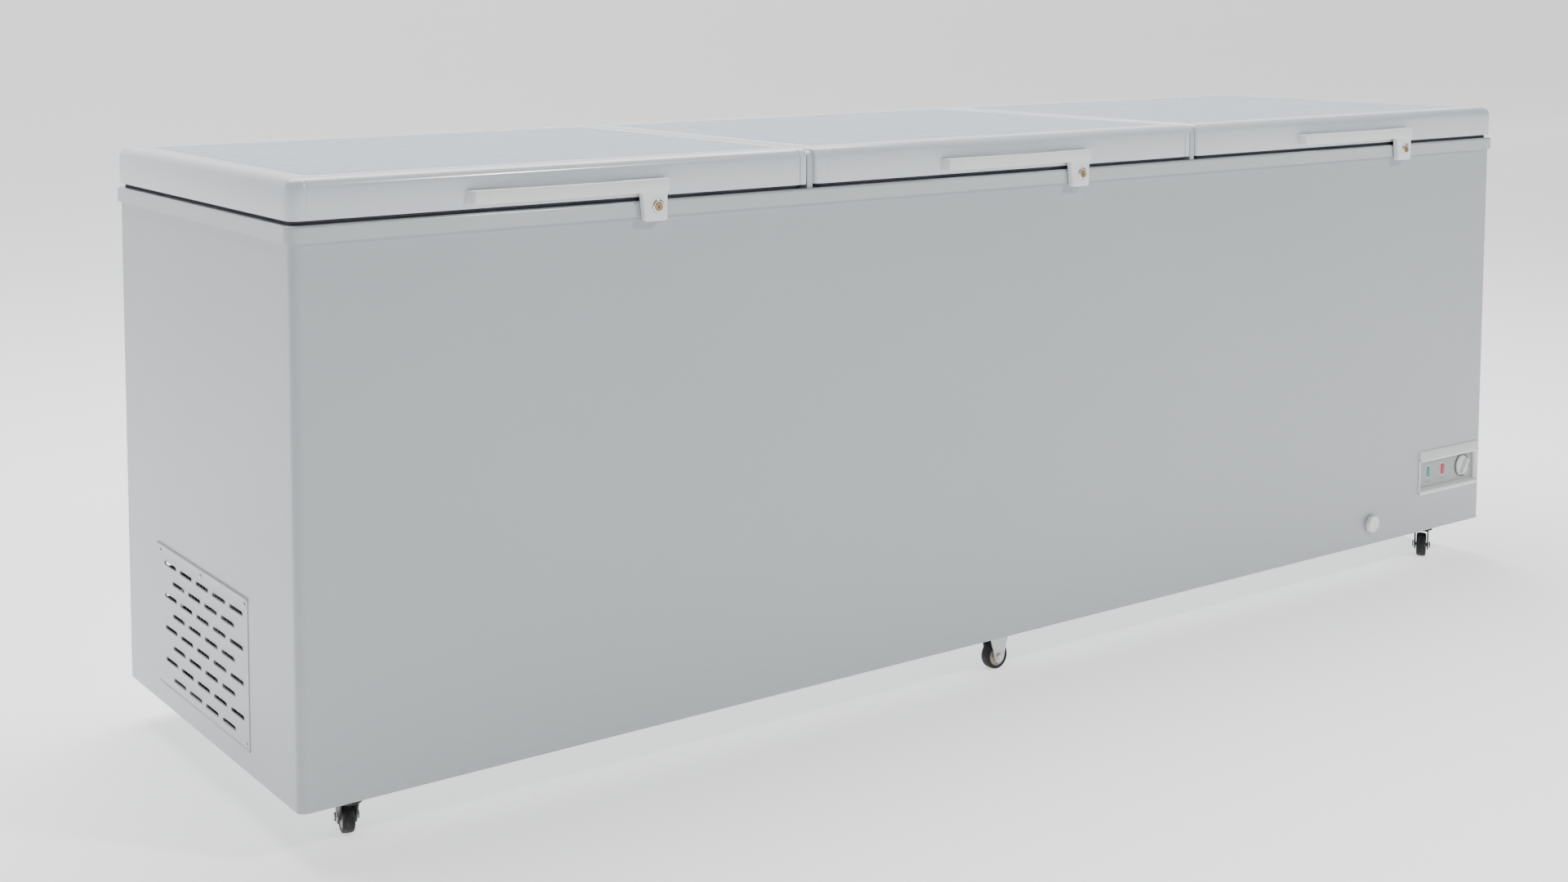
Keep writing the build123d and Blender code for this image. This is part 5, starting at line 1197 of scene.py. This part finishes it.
# ---------------------------------------------------------------- casters
class CABINET_OT_casters(bpy.types.Operator):
    """Tyres, hubs and axle heads of the six casters."""

    bl_idname = "cabinet.casters"
    bl_label = "Casters"

    def execute(self, context):
        for caster in SWIVEL_CASTERS + FIXED_CASTERS:
            joint = JOINTS[f"{caster}_roll"]
            centre = np.array(joint["pos_m"])
            axis = np.array(joint["axis"])
            self.wheel(caster, centre, axis)
            holder = f"fork_{caster}" if caster in SWIVEL_CASTERS else "root"
            self.heads(caster, centre, axis, holder)
        return {"FINISHED"}

    def wheel(self, caster, centre, axis):
        """Tyre section: a crowned tread with two grooves; hub: a dished disc with six ribs."""
        across = np.linspace(-1, 1, 25)
        radius, half = 25 * MM, 8.4 * MM
        tread = radius - 1.3 * MM * np.abs(across) ** 4
        tread = tread - 0.5 * MM * (bump(across, -0.42, 0.06) + bump(across, 0.42, 0.06))
        flank = np.array(((19.2, -9.4), (21.5, -9.45), (22.6, -9.0))) * MM
        bead = np.array(((18.2, 8.4), (17.8, 5.0), (17.8, -5.0), (18.2, -8.4), (19.2, -9.4))) * MM
        rows = np.concatenate((flank, np.stack((tread, across * half), axis=1),
                               flank[::-1] * (1, -1), bead))
        piece(f"caster_{caster}_tyre", turned(rows, centre, axis, 72), "tyre_rubber",
              f"wheel_{caster}", (f"caster_{caster}_wheel",), sharp=50.0)
        dish = ((4.1, -9.5), (6.8, -9.5), (7.4, -9.0), (8.2, -7.2), (15.0, -7.2), (16.2, -8.4),
                (17.6, -8.6), (18.0, -5.2), (18.0, 5.2), (17.6, 8.6), (16.2, 8.4), (15.0, 7.2),
                (8.2, 7.2), (7.4, 9.0), (6.8, 9.5), (4.1, 9.5), (4.1, -9.5))
        profile = np.array(dish) * MM
        outwards = np.sign(profile[:, 1:])

        def ribs(r, angle):
            inside = smooth(r, 8.0 * MM, 9.0 * MM) * (1 - smooth(r, 14.6 * MM, 15.4 * MM))
            rib = smooth(np.cos(6 * angle), 0.75, 0.95)
            return 1.4 * MM * inside * rib * outwards

        piece(f"caster_{caster}_hub", turned(profile, centre, axis, 96, ribs),
              "hub_plastic", f"wheel_{caster}", sharp=40.0)

    def heads(self, caster, centre, axis, holder):
        """Domed heads over both ends of the axle."""
        radius, foot, rim, rise = 6.9 * MM, 14.1 * MM, 15.2 * MM, 3.4 * MM
        profile = [(radius, foot)]
        profile += [(radius * math.cos(a), rim + rise * math.sin(a)) for a in arc(0, 90, 8)]
        profile += [(0.0, foot)]
        heads = [turned(profile, centre, side * axis, 40) for side in (-1, 1)]
        piece(f"caster_{caster}_axle_heads", joined(heads), "bolt_zinc", holder,
              sharp=45.0)


# ---------------------------------------------------------------- stage
class CABINET_OT_stage(bpy.types.Operator):
    """Pale floor and backdrop, soft studio light and the camera."""

    bl_idname = "cabinet.stage"
    bl_label = "Stage"

    def execute(self, context):
        self.backdrop()
        self.world()
        self.lights()
        self.camera()
        return {"FINISHED"}

    def backdrop(self):
        """Floor that curves up into a wall: straight, a quarter circle, straight."""
        radius, near, far, half_width, wall_top = 2.5, -30.0, 7.0, 45.0, 12.0
        turn = arc(0, 90, 16)
        back = np.concatenate(([near, 0.0], far + radius * np.sin(turn), [far + radius]))
        up = np.concatenate(([0.0, 0.0], radius * (1 - np.cos(turn)), [wall_top]))
        x = np.array((-half_width, half_width))
        points = np.stack(np.broadcast_arrays(x[:, None], back[None, :], up[None, :]), axis=-1)
        mesh = bpy.data.meshes.new("studio_floor")
        shape_points, faces = surface(points)
        mesh.from_pydata(shape_points, [], faces)
        mesh.shade_smooth()
        floor = bpy.data.objects.new("studio_floor", mesh)
        bpy.context.scene.collection.objects.link(floor)
        paper = Finish("studio_paper", (0.88, 0.885, 0.89), 0.8, vary=0.008, vary_scale=0.5,
                       Emission_Color=(1.0, 1.0, 1.0, 1.0), Emission_Strength=0.85)
        floor.data.materials.append(paper.done())

    def world(self):
        """Dim sky, paler towards the top, its share the direction's Z / 2 + 1 / 2."""
        world = bpy.data.worlds.new("studio_air")
        bpy.context.scene.world = world
        world.use_nodes = True
        tree = world.node_tree
        tree.nodes.clear()
        output = node_of(tree, "ShaderNodeOutputWorld", (600, 0))
        air = node_of(tree, "ShaderNodeBackground", (400, 0), Strength=0.12)
        place = node_of(tree, "ShaderNodeTexCoord", (-400, 0))
        split = node_of(tree, "ShaderNodeSeparateXYZ", (-200, 0))
        ramp = node_of(tree, "ShaderNodeValToRGB", (0, 0))
        stops(ramp, ((0.0, (0.62, 0.64, 0.67)), (0.5, (0.74, 0.80, 0.88)),
                     (1.0, (0.95, 0.97, 1.0))))
        shift = node_of(tree, "ShaderNodeMath", (-100, -200), operation="MULTIPLY_ADD")
        shift.inputs[1].default_value = 0.5
        shift.inputs[2].default_value = 0.5
        tree.links.new(place.outputs["Generated"], split.inputs[0])
        tree.links.new(split.outputs["Z"], shift.inputs[0])
        tree.links.new(shift.outputs[0], ramp.inputs[0])
        tree.links.new(ramp.outputs[0], air.inputs[0])
        tree.links.new(air.outputs[0], output.inputs[0])

    def lamp(self, name, place, aim, size, power, colour):
        """Rectangular lamp of a size in metres and a power in watts, aimed at a point."""
        data = bpy.data.lights.new(name, "AREA")
        data.shape = "RECTANGLE"
        data.size, data.size_y = size
        data.energy = power
        data.color = colour
        light = bpy.data.objects.new(name, data)
        light.location = place
        toward = Vector(aim) - Vector(place)
        light.rotation_euler = toward.to_track_quat("-Z", "Y").to_euler()
        bpy.context.scene.collection.objects.link(light)

    def lights(self):
        self.lamp("key_light", (2.6, -5.2, 5.0), (0, -0.3, 0.5), (0.6, 0.6), 210, (1.0, 0.98, 0.95))
        self.lamp("front_fill", (-3.5, -6.0, 3.2), (0, 0, 0.5), (5.0, 3.0), 12, (0.92, 0.96, 1.0))
        self.lamp("top_soft", (0.0, 1.2, 4.6), (0, 0, 0.5), (6.0, 3.0), 430, (1.0, 1.0, 1.0))
        self.lamp("left_soft", (-6.0, 0.5, 2.4), (-1.4, 0, 0.5), (3.0, 3.0), 4, (0.86, 0.93, 1.0))

    def camera(self):
        """Pinhole camera from the left front, a little above the lids."""
        data = bpy.data.cameras.new("main_camera")
        data.sensor_width = 36.0
        data.lens = 44.89
        data.shift_x = 0.1082
        data.shift_y = -0.1905
        data.clip_start, data.clip_end = 0.05, 60.0
        camera = bpy.data.objects.new("main_camera", data)
        bpy.context.scene.collection.objects.link(camera)
        place = (-2.4871, -2.8059, 1.2288)
        heading, tilt, roll = math.radians(33.433), math.radians(-4.407), math.radians(-0.204)
        look = Vector((math.sin(heading) * math.cos(tilt), math.cos(heading) * math.cos(tilt),
                       math.sin(tilt)))
        turn = look.to_track_quat("-Z", "Y").to_matrix() @ Matrix.Rotation(roll, 3, "Z")
        camera.matrix_world = Matrix.Translation(place) @ turn.to_4x4()
        bpy.context.scene.camera = camera


class CABINET_OT_finishes(bpy.types.Operator):
    """Makes the finishes and puts them on the pieces kept from the frame."""

    bl_idname = "cabinet.finishes"
    bl_label = "Finishes"

    def execute(self, context):
        make_finishes(context.scene.cabinet_colours)
        dress_frame()
        return {"FINISHED"}


OPERATORS = (CABINET_OT_stage, CABINET_OT_finishes, CABINET_OT_lids, CABINET_OT_handles,
             CABINET_OT_grille, CABINET_OT_panel, CABINET_OT_casters)


class CABINET_PT_sidebar(bpy.types.Panel):
    """Sizes, colours and the pieces, in the 3D view's sidebar."""

    bl_label = "Dipping cabinet"
    bl_idname = "CABINET_PT_sidebar"
    bl_space_type = "VIEW_3D"
    bl_region_type = "UI"
    bl_category = "Cabinet"

    def draw(self, context):
        for group in (context.scene.cabinet_sizes, context.scene.cabinet_colours):
            for name in group.__annotations__:
                self.layout.prop(group, name)
        for operator in OPERATORS:
            self.layout.operator(operator.bl_idname)


CLASSES = (CabinetSizes, CabinetColours, *OPERATORS, CABINET_PT_sidebar)


def register():
    for entry in CLASSES:
        bpy.utils.register_class(entry)
    bpy.types.Scene.cabinet_sizes = PointerProperty(type=CabinetSizes)
    bpy.types.Scene.cabinet_colours = PointerProperty(type=CabinetColours)


def unregister():
    del bpy.types.Scene.cabinet_colours
    del bpy.types.Scene.cabinet_sizes
    for entry in reversed(CLASSES):
        bpy.utils.unregister_class(entry)


def main():
    register()
    for name in ("stage", "finishes", "lids", "handles", "grille", "panel", "casters"):
        getattr(bpy.ops.cabinet, name)()


if __name__ == "__main__":
    main()
